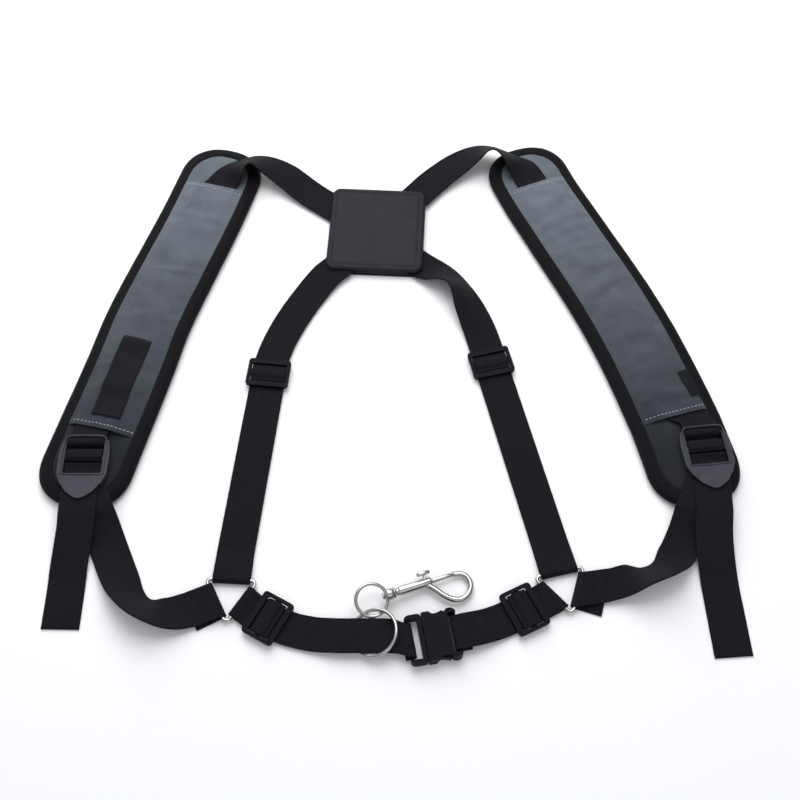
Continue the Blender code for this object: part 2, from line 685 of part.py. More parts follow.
def make_shoulder_webs(finish):
    top, heading = lock_bar(LOCK_LEFT, 0), LOCK_LEFT[1]
    left = route([(-3, 2, CROSS_LOW, 142, 0), (-44, 31, CROSS_LOW, 142, 0),
                  (-66, 47, 4.5, 142, 0), (-88, 64, 9.5, 146, -4), (-106, 73, 15, 156, -18),
                  (-119, 75.5, 19.5, 176, -34), (-129, 71.5, 20.5, 202, -38),
                  (-136, 67, 18.4, 216, -26), (-144, 60.5, 13, 234, -6),
                  (-150, 53, PAD_LAYER + 0.1, 245, 0), (-157, 42, PAD_LAYER, 251, 0),
                  (-179, -20, PAD_LAYER, 252, 0),
                  (-202, -94, PAD_LAYER, 254, 0), (-218, -160, PAD_LAYER, 256, 0),
                  (-232, -204, PAD_LAYER + 0.3, 262, 0),
                  (-238, -219, PAD_SECOND_LAYER + 0.4, 268, 0)])
    loop = wrap(top, heading, LOCK_WRAP, 100, -90)
    loop.append((Vector((-239.5, -219, PAD_LAYER)), loop[-1][1].copy()))
    web("shoulder_web_left", left + loop, finish)

    top, heading = lock_bar(LOCK_RIGHT, 0), LOCK_RIGHT[1]
    right = route([(3, 2, CROSS_HIGH, 49, 0), (38, 42, CROSS_HIGH, 49, 0),
                   (56, 62, 5.5, 45, 0), (78, 80, 9, 38, 8), (97, 89, 15, 14, 24),
                   (110, 90, 19.5, -12, 40), (120, 86, 21, -30, 46), (131, 78, 19, -44, 34),
                   (141, 70, 14, -57, 8), (148, 58.5, PAD_LAYER + 0.2, -65, 0),
                   (152, 50, PAD_LAYER, -66, 0),
                   (180, -5, PAD_LAYER, -65, 0),
                   (209, -68, PAD_LAYER, -66, 0), (230, -120, PAD_LAYER, -69, 0),
                   (250, -176, PAD_LAYER, -68, 0), (262, -200, PAD_LAYER + 0.3, -70, 0),
                   (273.4, -210, PAD_SECOND_LAYER + 0.4, -83, 0)])
    loop = wrap(top, heading, LOCK_WRAP, 100, -90)
    back = loop[-1][0] - flat_direction(heading) * 11
    loop.append((back, loop[-1][1].copy()))
    web("shoulder_web_right", right + loop, finish)


def make_back_webs(finish):
    left = route([(-5, -8, CROSS_HIGH, 229, 0), (-34, -40, CROSS_HIGH, 229, 0),
                  (-47, -53, 4.5, 230, 0), (-63, -77, 3, 236, 0), (-76, -101, SECOND_LAYER, 246, 0),
                  (-86, -125, SECOND_LAYER, 256, 0), (-92, -146, SECOND_LAYER, 264, 0)])
    left += straight((-93, -156, SECOND_LAYER), (-110, -325, SECOND_LAYER), 264.3)
    web("back_web_left", left + ring_loop(RING_LEFT, 87, 0), finish)
    web("back_web_left_return",
        ring_return(RING_LEFT, 87, [(-110, -325, TABLE_LAYER, 84.3, 0),
                                    (-93.5, -161, TABLE_LAYER, 84.3, 0)]), finish)

    right = route([(3, -5, CROSS_LOW, -38, 0), (38, -36, CROSS_LOW, -38, 0),
                   (52, -46, 4.8, -38, 8), (65, -54.5, 9.5, -43, 30), (76, -67, 11.6, -57, 40),
                   (85, -88, 7, -66, 18), (94, -113, SECOND_LAYER + 0.3, -72, 2),
                   (100, -136, SECOND_LAYER, -76, 0)])
    right += straight((102, -146, SECOND_LAYER), (143, -318, SECOND_LAYER), -76.6)
    web("back_web_right", right + ring_loop(RING_RIGHT, 103, 0), finish)
    web("back_web_right_return",
        ring_return(RING_RIGHT, 103, [(143, -318, TABLE_LAYER, 103.4, 0),
                                      (103, -149, TABLE_LAYER, 103.4, 0)]), finish)


def lock_wrap_web(name, lock, finish):
    """The short stretch of web that goes over a lock's middle bar, and moves with it."""
    loop = wrap(lock_bar(lock, LOCK_BAR_PITCH), lock[1], LOCK_WRAP, -100, -300, 9)
    web(name, loop, finish)


def make_front_webs(finish):
    """Webs from each lock's middle bar: the loaded one to the ring, and the free tail."""
    start = PAD_LAYER
    left = route([(-240, -248.5, start, -90, 0), (-238, -262, start, -84, 0),
                  (-233, -276, start, -74, 0), (-227, -289, start, -68, 0),
                  (-221, -302, 5, -66, 0), (-214, -318, 1.3, -67, 0),
                  (-201, -345, 5, -70, 12), (-190, -364, 10, -58, 38), (-176, -375, 11, -15, 42),
                  (-158, -377, 6, 16, 14), (-142, -373, SECOND_LAYER + 0.4, 25, 0)], 3)
    web("front_web_left", left + ring_loop(RING_LEFT, 207, 22), finish)
    right = route([(277, -239.5, start, -84, 0), (276, -252, start, -92, 0),
                   (271, -268, start, -106, 0), (265, -284, start, -110, 0),
                   (261, -291, 9.8, -112, 0), (256, -304, 4.2, -114, 0), (251, -315, 1.8, -115, 0),
                   (244, -327, 3.6, -120, -10),
                   (232, -341, 11, -138, -42), (216, -348, 11, -170, -44),
                   (200, -350, 5.5, -184, -12), (186, -353, SECOND_LAYER + 0.4, -194, 0)], 3)
    web("front_web_right", right + ring_loop(RING_RIGHT, -17, 22), finish)

    upper = PAD_SECOND_LAYER
    web("tail_web_left", route([(-240, -250.6, upper + 2.2, -90, 0), (-240, -256, upper + 0.2, -90, 0),
                                (-240, -270, upper, -90, 0), (-240, -292, upper + 0.2, -90, 0),
                                (-240, -306, 10, -90, 0), (-241, -322, 6.5, -91, 0),
                                (-242, -339, 3, -91, 0), (-242, -356, 1.1, -91, 0),
                                (-242, -388, TABLE_LAYER, -91, 0)]), finish)
    web("tail_web_right", route([(277.4, -241.6, upper + 2.2, -84, 0),
                                 (278, -247, upper + 0.2, -84, 0), (279, -261, upper, -87, 0),
                                 (278, -277, upper + 0.2, -90, 0), (277, -293, 12.6, -91, 0),
                                 (275, -309, 9.8, -91, 0), (274.3, -328, 6.6, -90, 0),
                                 (275, -348, 2.4, -88, 0), (276, -366, 1, -87, 0),
                                 (278, -410, TABLE_LAYER, -86, 0)]), finish)
    lock_wrap_web("front_web_left_bar_wrap", LOCK_LEFT, finish)
    lock_wrap_web("front_web_right_bar_wrap", LOCK_RIGHT, finish)


BELT_WEB_WIDTH = 27.6         # a little narrower, to clear the buckle slots and belt ring
BELT_LEFT_SLIDER = ((-80.5, -380.6), -29.0)
BELT_RIGHT_SLIDER = ((119.0, -373.4), 206.0)
BACK_LEFT_SLIDER = ((-93.2, -158.0), 264.3)
BACK_RIGHT_SLIDER = ((102.2, -147.0), -76.6)


def make_belt_webs(finish):
    bar = BUCKLE_Z + BUCKLE_WRAP
    first = ring_loop(RING_LEFT, -33, 0)
    first.reverse()
    first = [(point, across * -1) for point, across in first]
    left = route([(-94, -372.9, SECOND_LAYER, -31, 0), (-82, -379.7, SECOND_LAYER, -29, 0),
                  (-66, -387.5, SECOND_LAYER, -24, 0), (-46, -392.5, 3.4, -10, 0),
                  (-28, -394.8, 6.8, -3, 0), (-14, -395.2, 7.8, 0, 0), (6, -395.2, 7.6, 0, 0),
                  (18, -395.6, 7.6, 5, 0), (25, -398.2, bar, 10, 0)])
    web("belt_web_left", first + left + buckle_loop(-1, 5), finish, BELT_WEB_WIDTH)
    web("belt_web_left_return",
        ring_return(RING_LEFT, -33, [(-92, -374.5, TABLE_LAYER, -30, 0),
                                     (-80, -381, TABLE_LAYER, -29, 0)]), finish, BELT_WEB_WIDTH)
    first = ring_loop(RING_RIGHT, 223, 0)
    first.reverse()
    first = [(point, across * -1) for point, across in first]
    right = route([(133, -366.6, SECOND_LAYER, 211, 0), (121, -372.5, SECOND_LAYER, 206, 0),
                   (104, -380.5, SECOND_LAYER, 204, 0), (92, -385.4, 4.4, 201, 0),
                   (82, -388.8, 7.2, 196, 0), (73, -391, bar, 191, 0)])
    web("belt_web_right", first + right + buckle_loop(1, 10), finish, BELT_WEB_WIDTH)
    web("belt_web_right_return",
        ring_return(RING_RIGHT, 223, [(131, -367.5, TABLE_LAYER, 208, 0),
                                      (117, -374.4, TABLE_LAYER, 206, 0)]), finish,
        BELT_WEB_WIDTH)


def main():
    clear_scene()
    bpy.context.scene.collection.children.link(MODEL)
    bpy.context.scene.collection.children.link(CUTTERS)
    CUTTERS.hide_render = True
    finishes = {
        "webbing": material("webbing", (0.012, 0.012, 0.016), 0.75),
        "binding": material("binding", (0.016, 0.015, 0.018), 0.8),
        "grey_fabric": material("grey_fabric", (0.13, 0.16, 0.19), 0.8),
        "foam": material("foam", (0.05, 0.05, 0.055), 0.9),
        "lining": material("lining", (0.02, 0.02, 0.022), 0.9),
        "leatherette": material("leatherette", (0.055, 0.055, 0.068), 0.55),
        "board": material("board", (0.35, 0.33, 0.3), 0.8),
        "black_plastic": material("black_plastic", (0.015, 0.016, 0.022), 0.4),
        "blue_grey_plastic": material("blue_grey_plastic", (0.045, 0.05, 0.07), 0.45),
        "nickel": material("nickel", (0.75, 0.74, 0.72), 0.2, 1.0),
        "spring_steel": material("spring_steel", (0.5, 0.5, 0.52), 0.35, 1.0),
        "label": material("label", (0.015, 0.015, 0.018), 0.6),
    }
    webbing, metal = finishes["webbing"], finishes["nickel"]
    make_back_plate(finishes)
    make_pad("left", PAD_AXIS_LEFT, finishes)
    make_pad("right", PAD_AXIS_RIGHT, finishes)
    make_pad_labels(finishes["label"])
    make_shoulder_webs(webbing)
    make_back_webs(webbing)
    make_front_webs(webbing)
    make_belt_webs(webbing)
    make_slider("back_slider_left", *BACK_LEFT_SLIDER, finishes)
    make_slider("back_slider_right", *BACK_RIGHT_SLIDER, finishes)
    make_slider("belt_slider_left", *BELT_LEFT_SLIDER, finishes)
    make_slider("belt_slider_right", *BELT_RIGHT_SLIDER, finishes)
    make_ladder_lock("ladder_lock_left", LOCK_LEFT, finishes["blue_grey_plastic"])
    make_ladder_lock("ladder_lock_right", LOCK_RIGHT, finishes["blue_grey_plastic"])
    make_triangle_ring("triangle_ring_left", RING_LEFT, metal)
    make_triangle_ring("triangle_ring_right", RING_RIGHT, metal)
    make_buckle(finishes["black_plastic"])
    make_belt_ring(metal)
    make_hook(finishes)
    bpy.context.view_layer.update()


main()
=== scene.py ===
"""Padded two-shoulder instrument harness lying on a pale table: how it looks.

Lengths are millimetres in the part's frame; MM turns them into metres.
"""
import json
import math

import bmesh
import bpy
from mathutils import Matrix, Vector, noise
from mathutils.bvhtree import BVHTree

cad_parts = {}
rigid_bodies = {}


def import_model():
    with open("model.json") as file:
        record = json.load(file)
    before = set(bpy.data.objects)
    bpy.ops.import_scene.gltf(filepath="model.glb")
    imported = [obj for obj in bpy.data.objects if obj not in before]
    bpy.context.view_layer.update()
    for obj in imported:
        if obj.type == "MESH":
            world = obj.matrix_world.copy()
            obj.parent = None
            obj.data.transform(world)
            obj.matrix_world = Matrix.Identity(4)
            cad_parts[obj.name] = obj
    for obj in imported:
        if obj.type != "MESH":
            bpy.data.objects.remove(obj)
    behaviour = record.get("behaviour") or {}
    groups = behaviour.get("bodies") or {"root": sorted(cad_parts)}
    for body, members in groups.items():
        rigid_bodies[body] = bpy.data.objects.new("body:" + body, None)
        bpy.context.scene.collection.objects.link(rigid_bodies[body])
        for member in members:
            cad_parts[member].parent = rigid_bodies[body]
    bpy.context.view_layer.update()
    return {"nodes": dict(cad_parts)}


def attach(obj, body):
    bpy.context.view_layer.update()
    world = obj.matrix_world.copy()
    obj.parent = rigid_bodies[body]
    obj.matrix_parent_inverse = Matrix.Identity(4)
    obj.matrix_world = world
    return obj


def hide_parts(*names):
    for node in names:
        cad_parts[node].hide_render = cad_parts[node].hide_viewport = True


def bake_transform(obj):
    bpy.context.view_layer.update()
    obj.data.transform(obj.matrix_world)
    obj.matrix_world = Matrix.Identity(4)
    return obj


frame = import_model()
MM = 0.001


# ---------------------------------------------------------------- procedural finishes

class Nodes:
    """Short names for building one material's nodes."""

    def __init__(self, name):
        self.mat = bpy.data.materials.new(name)
        self.mat.use_nodes = True
        self.tree = self.mat.node_tree
        self.shader = self.tree.nodes["Principled BSDF"]

    def add(self, kind, **inputs):
        node = self.tree.nodes.new(kind)
        for key, value in inputs.items():
            node.inputs[key.replace("_", " ")].default_value = value
        return node

    def link(self, a, b):
        self.tree.links.new(a, b)

    def math(self, operation, a, b=None):
        node = self.tree.nodes.new("ShaderNodeMath")
        node.operation = operation
        for i, value in enumerate((a, b)):
            if value is None:
                continue
            if hasattr(value, "links"):
                self.link(value, node.inputs[i])
            else:
                node.inputs[i].default_value = value
        return node.outputs[0]

    def noise(self, scale, detail=4.0, vector=None):
        node = self.add("ShaderNodeTexNoise", Scale=scale, Detail=detail)
        if vector is None:
            vector = self.add("ShaderNodeTexCoord").outputs["Object"]
        self.link(vector, node.inputs["Vector"])
        return node.outputs["Fac"]

    def total(self, *shares):
        """The sum of (value, factor) pairs, added from the left."""
        whole = None
        for value, factor in shares:
            part = self.math("MULTIPLY", value, factor)
            whole = part if whole is None else self.math("ADD", whole, part)
        return whole

    def mix(self, factor, low, high, start=0.0, end=1.0):
        """The colour between low and high, as factor goes from start to end."""
        ramp = self.tree.nodes.new("ShaderNodeValToRGB")
        for element, colour, stop in zip(ramp.color_ramp.elements, (low, high), (start, end)):
            element.color = (*colour, 1)
            element.position = stop
        self.link(factor, ramp.inputs["Fac"])
        return ramp.outputs["Color"]

    def feed(self, name, socket):
        self.link(socket, self.shader.inputs[name])

    def rough(self, source, spread, least):
        self.feed("Roughness", self.math("ADD", self.math("MULTIPLY", source, spread), least))

    def bump(self, height, distance, strength=1.0):
        node = self.add("ShaderNodeBump", Distance=distance, Strength=strength)
        self.link(height, node.inputs["Height"])
        previous = self.shader.inputs["Normal"]
        if previous.links:
            self.link(previous.links[0].from_socket, node.inputs["Normal"])
        self.link(node.outputs["Normal"], previous)

    def set(self, **values):
        for key, value in values.items():
            self.shader.inputs[key.replace("_", " ")].default_value = value


YARN_PITCH = 0.94              # mm between the yarns across a strap
PAINTED_SHADING_FRONT = -0.24             # metres along y where the darker front tint, a painted shade, ends
PAINTED_SHADING_RATE = 3.1                # share of the change to the lighter back tint, a painted light, in each metre behind it


def web_finish(name, low, high, rib=1.9, chevron=7.5, depth=0.00028, sheen=0.25):
    """Woven strap: a chevron weave on UVs in millimetres, with fuzz and dust."""
    n = Nodes(name)
    uv = n.add("ShaderNodeUVMap")
    parts = n.add("ShaderNodeSeparateXYZ")
    n.link(uv.outputs["UV"], parts.inputs["Vector"])
    across, along = parts.outputs["X"], parts.outputs["Y"]
    zigzag = n.math("PINGPONG", across, chevron / 2)
    phase = n.math("MULTIPLY", n.math("ADD", along, zigzag), math.tau / rib)
    twill = n.math("SINE", phase)
    yarn = n.math("SINE", n.math("MULTIPLY", across, math.tau / YARN_PITCH))
    weave = n.math("ADD", n.total((twill, 0.35), (yarn, 0.25)), 0.5)
    fuzz = n.noise(420.0, 3.0)
    dust = n.noise(38.0, 5.0)
    tone = n.total((weave, 0.35), (fuzz, 0.4), (dust, 0.35))
    n.feed("Base Color", n.mix(tone, low, high, 0.25, 0.95))
    n.rough(dust, 0.22, 0.62)
    n.set(Sheen_Weight=sheen, Sheen_Roughness=0.45, Specular_IOR_Level=0.09)
    n.bump(weave, depth, 0.8)
    n.bump(fuzz, 0.00012, 0.5)
    return n.mat


def cloth_finish(name, low, high, cell=0.55, sheen=0.35, painted_shading=None):
    """Close woven panel cloth: a plain weave on object coordinates, mottled and a little dusty.

    The last argument gives the tint at the front end and at the back end: painted shade towards the front
    and painted light towards the back, for how the light falls along the cloth.
    """
    n = Nodes(name)
    place = n.add("ShaderNodeTexCoord").outputs["Object"]
    parts = n.add("ShaderNodeSeparateXYZ")
    n.link(place, parts.inputs["Vector"])
    step = math.tau / (cell * MM)
    warp = n.math("SINE", n.math("MULTIPLY", parts.outputs["X"], step))
    weft = n.math("SINE", n.math("MULTIPLY", parts.outputs["Y"], step))
    weave = n.math("ADD", n.math("MULTIPLY", n.math("MULTIPLY", warp, weft), 0.5), 0.5)
    mottle = n.noise(55.0, 6.0)
    fibre = n.noise(900.0, 2.0)
    colour = n.mix(n.total((mottle, 0.55), (fibre, 0.3), (weave, 0.15)), low, high, 0.3, 0.75)
    # Painted shade and light: the colour is darkened towards the front end and lightened towards the back
    # end.
    if painted_shading:
        share = n.math("MULTIPLY", n.math("ADD", parts.outputs["Y"], -PAINTED_SHADING_FRONT), PAINTED_SHADING_RATE)
        blend = n.tree.nodes.new("ShaderNodeVectorMath")
        blend.operation = "MULTIPLY"
        n.link(colour, blend.inputs[0])
        n.link(n.mix(share, *painted_shading), blend.inputs[1])
        colour = blend.outputs[0]
    n.feed("Base Color", colour)
    n.set(Roughness=0.82, Sheen_Weight=sheen, Sheen_Roughness=0.5, Specular_IOR_Level=0.18)
    n.bump(weave, 0.00010, 0.6)
    n.bump(mottle, 0.0005, 0.25)
    return n.mat


def grain_finish(name, low, high, roughness, grain=900.0, depth=0.00006, specular=0.3):
    """Moulded plastic or leatherette: a fine grain, with handling marks in the roughness."""
    n = Nodes(name)
    fine = n.noise(grain, 3.0)
    marks = n.noise(60.0, 6.0)
    n.feed("Base Color", n.mix(marks, low, high, 0.35, 0.7))
    n.rough(marks, 0.24, roughness - 0.12)
    n.set(Specular_IOR_Level=specular)
    n.bump(fine, depth, 0.7)
    return n.mat


def metal_finish(name, colour, roughness):
    """Bright plated wire with rub marks."""
    n = Nodes(name)
    smear = n.noise(140.0, 5.0)
    n.feed("Base Color", n.mix(smear, tuple(c * 0.82 for c in colour), colour))
    n.rough(smear, 0.16, roughness - 0.06)
    n.set(Metallic=1.0)
    n.bump(n.noise(700.0, 2.0), 0.00001, 0.5)
    return n.mat


WEBBING = web_finish("webbing_weave", (0.0036, 0.0036, 0.0054), (0.0132, 0.0130, 0.0175), sheen=0.04)
BINDING = web_finish("binding_weave", (0.0026, 0.0026, 0.0040), (0.0085, 0.0084, 0.0115), rib=1.1,
                     chevron=400.0, depth=0.00016, sheen=0.04)
# The grey panel and the pad base cloth carry painted shade towards the front and painted light towards
# the back.
GREY = cloth_finish("grey_panel", (0.060, 0.070, 0.086), (0.100, 0.114, 0.135), sheen=0.12,
                    painted_shading=((0.26, 0.27, 0.29), (1.85, 1.79, 1.75)))
BASE = cloth_finish("pad_base_cloth", (0.030, 0.035, 0.041), (0.050, 0.058, 0.066), sheen=0.08,
                    painted_shading=((0.30, 0.30, 0.33), (3.0, 3.0, 2.95)))
LINING = cloth_finish("lining_cloth", (0.012, 0.012, 0.014), (0.026, 0.026, 0.029))
LEATHER = grain_finish("leatherette_grain", (0.013, 0.0127, 0.018), (0.021, 0.0203, 0.027), 0.50,
                       grain=1400.0, depth=0.00016, specular=0.11)
BLACK = grain_finish("black_nylon", (0.0022, 0.0026, 0.0052), (0.0050, 0.0056, 0.0092), 0.46,
                     specular=0.07)
BLUE_GREY = grain_finish("blue_grey_nylon", (0.026, 0.027, 0.038), (0.040, 0.041, 0.055), 0.45)
NICKEL = metal_finish("bright_nickel", (0.50, 0.496, 0.485), 0.13)
STEEL = metal_finish("spring_steel_wire", (0.5, 0.5, 0.52), 0.32)
PATCH = web_finish("woven_patch", (0.005, 0.005, 0.007), (0.014, 0.014, 0.017), rib=0.8,
                   chevron=400.0, depth=0.0001, sheen=0.1)
THREAD_GREY = cloth_finish("thread_grey", (0.33, 0.34, 0.35), (0.46, 0.47, 0.48), 0.3, 0.1)
THREAD_BLACK = cloth_finish("thread_black", (0.009, 0.009, 0.012), (0.022, 0.022, 0.026), 0.3, 0.05)


# ---------------------------------------------------------------- mesh helpers

def placed(name, form, *finishes):
    """A new object in the scene from a finished bmesh."""
    mesh = bpy.data.meshes.new(name)
    form.to_mesh(mesh)
    form.free()
    obj = bpy.data.objects.new(name, mesh)
    bpy.context.scene.collection.objects.link(obj)
    for finish in finishes:
        mesh.materials.append(finish)
    return obj


def grid_mesh(name, rows, finish, around=False, closed=False, caps=False, uvs=None):
    """Quads between rows of points; around joins each row's ends, closed joins last row to first."""
    form = bmesh.new()
    layer = form.loops.layers.uv.new("UVMap")
    verts = [[form.verts.new(Vector(p) * MM) for p in row] for row in rows]
    wide = len(rows[0])
    spans = len(rows) if closed else len(rows) - 1
    for i in range(spans):
        j = (i + 1) % len(rows)
        for k in range(wide if around else wide - 1):
            m = (k + 1) % wide
            face = form.faces.new((verts[i][k], verts[i][m], verts[j][m], verts[j][k]))
            face.smooth = True
            if uvs:
                spots = (uvs[i][k], uvs[i][m], uvs[j][m], uvs[j][k])
                for loop, spot in zip(face.loops, spots):
                    loop[layer].uv = spot
    if caps:
        form.faces.new(reversed(verts[0])).smooth = True
        form.faces.new(verts[-1]).smooth = True
    bmesh.ops.recalc_face_normals(form, faces=form.faces)
    return placed(name, form, *([finish] if finish else []))


def dress(obj, body, slot, *nodes):
    """Put a finished piece on its body, with the CAD nodes it stands for; the slot is not used."""
    if body:
        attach(obj, body)
    if nodes:
        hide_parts(*nodes)


def reaches(points):
    """The distance along a line of points, at each point."""
    reach = [0.0]
    for a, b in zip(points, points[1:]):
        reach.append(reach[-1] + (b - a).length)
    return reach


def catmull_rom(rows, per_span):
    """Rows of numbers with smooth steps between them; the given rows are all kept."""
    ends = [tuple(2 * a - b for a, b in zip(rows[0], rows[1]))]
    ends += list(rows)
    ends.append(tuple(2 * a - b for a, b in zip(rows[-1], rows[-2])))
    smooth = []
    for i in range(1, len(ends) - 2):
        for step in range(per_span):
            t = step / per_span
            row = []
            for p0, p1, p2, p3 in zip(ends[i - 1], ends[i], ends[i + 1], ends[i + 2]):
                value = 2 * p1 + (p2 - p0) * t
                value += (2 * p0 - 5 * p1 + 4 * p2 - p3) * t * t
                value += (3 * p1 - p0 - 3 * p2 + p3) * t ** 3
                row.append(value / 2)
            smooth.append(tuple(row))
    smooth.append(tuple(rows[-1]))
    return smooth


def flat_direction(degrees):
    angle = math.radians(degrees)
    return Vector((math.cos(angle), math.sin(angle), 0.0))


def tube(name, points, radius, finish, closed=False, sides=14):
    """A wire along points; radius is one number or one per point."""
    points = [Vector(p) for p in points]
    count = len(points)
    rows = []
    normal = None
    for i, point in enumerate(points):
        if closed:
            tangent = points[(i + 1) % count] - points[i - 1]
        else:
            tangent = points[min(i + 1, count - 1)] - points[max(i - 1, 0)]
        tangent.normalize()
        if normal is None:
            normal = tangent.orthogonal()
        normal = (normal - tangent * normal.dot(tangent)).normalized()
        other = tangent.cross(normal)
        size = radius[i] if isinstance(radius, list) else radius
        row = []
        for k in range(sides):
            angle = math.tau * k / sides
            row.append(point + (normal * math.cos(angle) + other * math.sin(angle)) * size)
        rows.append(row)
    return grid_mesh(name, rows, finish, around=True, closed=closed, caps=not closed)


def lathe(name, origin, axis, profile, finish, sides=28):
    """A turned piece: profile is (distance along the axis, radius) rows."""
    axis = Vector(axis).normalized()
    first = axis.orthogonal().normalized()
    second = axis.cross(first)
    rows = []
    for reach, radius in profile:
        row = []
        for k in range(sides):
            angle = math.tau * k / sides
            around = first * math.cos(angle) + second * math.sin(angle)
            row.append(Vector(origin) + axis * reach + around * max(radius, 0.02))
        rows.append(row)
    return grid_mesh(name, rows, finish, around=True, caps=True)


def join(parts, name):
    """Several mesh objects made into one."""
    form = bmesh.new()
    materials = []
    for part in parts:
        start = len(form.faces)
        form.from_mesh(part.data)
        form.faces.ensure_lookup_table()
        finish = part.data.materials[0]
        if finish not in materials:
            materials.append(finish)
        for face in form.faces[start:]:
            face.material_index = materials.index(finish)
    for part in parts:
        bpy.data.objects.remove(part, do_unlink=True)
    return placed(name, form, *materials)


# ---------------------------------------------------------------- straps

WEB_WIDTH = 30.0
WEB_THICK = 1.6
BELT_WEB_WIDTH = 27.6
TABLE_LAYER = 0.8
SECOND_LAYER = 2.8
PAD_LAYER = 10.7
PAD_SECOND_LAYER = 12.7


def route(rows, per_span=9):
    """Stations (point, across) of a web. A row is x, y, z and heading, then roll where it has any."""
    stations = []
    for x, y, z, heading, roll in catmull_rom([(*row, 0)[:5] for row in rows], per_span):
        across = flat_direction(heading - 90) * math.cos(math.radians(roll))
        across.z = math.sin(math.radians(roll))
        stations.append((Vector((x, y, z)), across))
    return stations


def straight(start, end, heading, steps=60):
    across = flat_direction(heading - 90)
    start, end = Vector(start), Vector(end)
    return [(start.lerp(end, i / steps), across.copy()) for i in range(steps + 1)]


def wrap(centre, heading, radius, first, last, steps=20):
    """A web going round a bar. Angles are degrees above the heading, seen with it to the right."""
    along = flat_direction(heading)
    across = flat_direction(heading - 90)
    stations = []
    for i in range(steps + 1):
        angle = math.radians(first + (last - first) * i / steps)
        point = Vector(centre) + along * (radius * math.cos(angle))
        point.z += radius * math.sin(angle)
        stations.append((point, across.copy()))
    return stations


def even(stations, spacing):
    """The same stations at even distances along the web."""
    reach = reaches([point for point, _ in stations])
    count = max(2, round(reach[-1] / spacing))
    spaced = []
    k = 0
    for i in range(count + 1):
        want = reach[-1] * i / count
        while k < len(reach) - 2 and reach[k + 1] < want:
            k += 1
        share = (want - reach[k]) / max(reach[k + 1] - reach[k], 1e-6)
        (a, across_a), (b, across_b) = stations[k], stations[k + 1]
        spaced.append((a.lerp(b, share), across_a.lerp(across_b, share).normalized(), want))
    return spaced


def web(name, stations, finish=WEBBING, width=WEB_WIDTH, thickness=WEB_THICK, spacing=1.6):
    """A woven strap with round edges, a bound selvedge and slightly uneven sides."""
    seed = sum(ord(c) for c in name) * 0.37
    spaced = even(stations, spacing)
    rows, uvs = [], []
    half = thickness / 2
    side = [(-1.0, 0.0), (-0.993, 0.55), (-0.972, 0.93), (-0.93, 1.0), (-0.87, 0.86), (-0.6, 0.9),
            (-0.3, 0.92), (0.0, 0.93), (0.3, 0.92), (0.6, 0.9), (0.87, 0.86), (0.93, 1.0),
            (0.972, 0.93), (0.993, 0.55), (1.0, 0.0)]
    section = side + [(x, -y) for x, y in reversed(side[1:-1])]
    for i, (point, across, reach) in enumerate(spaced):
        before = spaced[max(i - 1, 0)][0]
        after = spaced[min(i + 1, len(spaced) - 1)][0]
        along = (after - before).normalized()
        normal = across.cross(along)
        if normal.length < 0.1:
            normal = Vector((0, 0, 1))
        normal.normalize()
        uneven = noise.noise(Vector((seed, reach * 0.045, 0))) * 0.22
        row = []
        for x, y in section:
            wobble = noise.noise(Vector((seed + 3 * (x > 0), reach * 0.12, 5))) * 0.10
            lift = uneven * 0.3 * x
            row.append(point + across * (x * (width / 2 + wobble)) + normal * (y * half + lift))
        rows.append(row)
        uvs.append([((x + 1) * width / 2, reach) for x, _ in section])
    return grid_mesh(name, rows, finish, around=True, caps=True, uvs=uvs)


def lay(name, stations, node, width=WEB_WIDTH):
    """A strap that stays with the harness and stands for one CAD web."""
    dress(web(name, stations, width=width), "harness", "webbing", node)


RING_LEFT = ((-112.0, -360.5), -93.0)
RING_RIGHT = ((151.0, -353.5), -77.0)
RING_CORNER = 24.2
RING_SIDE = RING_CORNER / 2
TRIANGLE_WIRE = 1.5
TRIANGLE_WRAP = TRIANGLE_WIRE + 0.3 + WEB_THICK / 2
TRIANGLE_Z = TABLE_LAYER + TRIANGLE_WRAP


def ring_side(ring, outward):
    (cx, cy), turn = ring
    normals = [turn + 60 + 120 * i for i in range(3)]
    normal = min(normals, key=lambda n: abs((n - outward + 180) % 360 - 180))
    point = flat_direction(normal) * RING_SIDE
    return (cx + point.x, cy + point.y, TRIANGLE_Z), normal


def ring_loop(ring, outward, flap):
    wire, normal = ring_side(ring, outward)
    loop = wrap(wire, normal + 180, TRIANGLE_WRAP, 90, -90)
    if flap:
        loop.append((loop[-1][0] + flat_direction(normal) * flap, loop[-1][1].copy()))
    return loop


def ring_return(ring, outward, rows):
    wire, normal = ring_side(ring, outward)
    start = Vector(wire) + flat_direction(normal) * 0.5
    across = flat_direction(normal - 90)
    return [(Vector((start.x, start.y, TABLE_LAYER)), across)] + route(rows)


def place(points, centre, turn):
    angle = math.radians(turn)
    return [(centre[0] + x * math.cos(angle) - y * math.sin(angle),
             centre[1] + x * math.sin(angle) + y * math.cos(angle)) for x, y in points]


LOCK_LEFT = ((-240.0, -231.0), -90.0)
LOCK_RIGHT = ((275.5, -222.0), -84.0)
LOCK_BAR_RADIUS = 1.8
LOCK_WRAP = LOCK_BAR_RADIUS + 0.3 + WEB_THICK / 2
LOCK_BAR_PITCH = 15.0
LOCK_BAR_Z = PAD_LAYER + LOCK_WRAP


def lock_bar(lock, reach):
    x, y = place([(reach, 0)], *lock)[0]
    return x, y, LOCK_BAR_Z


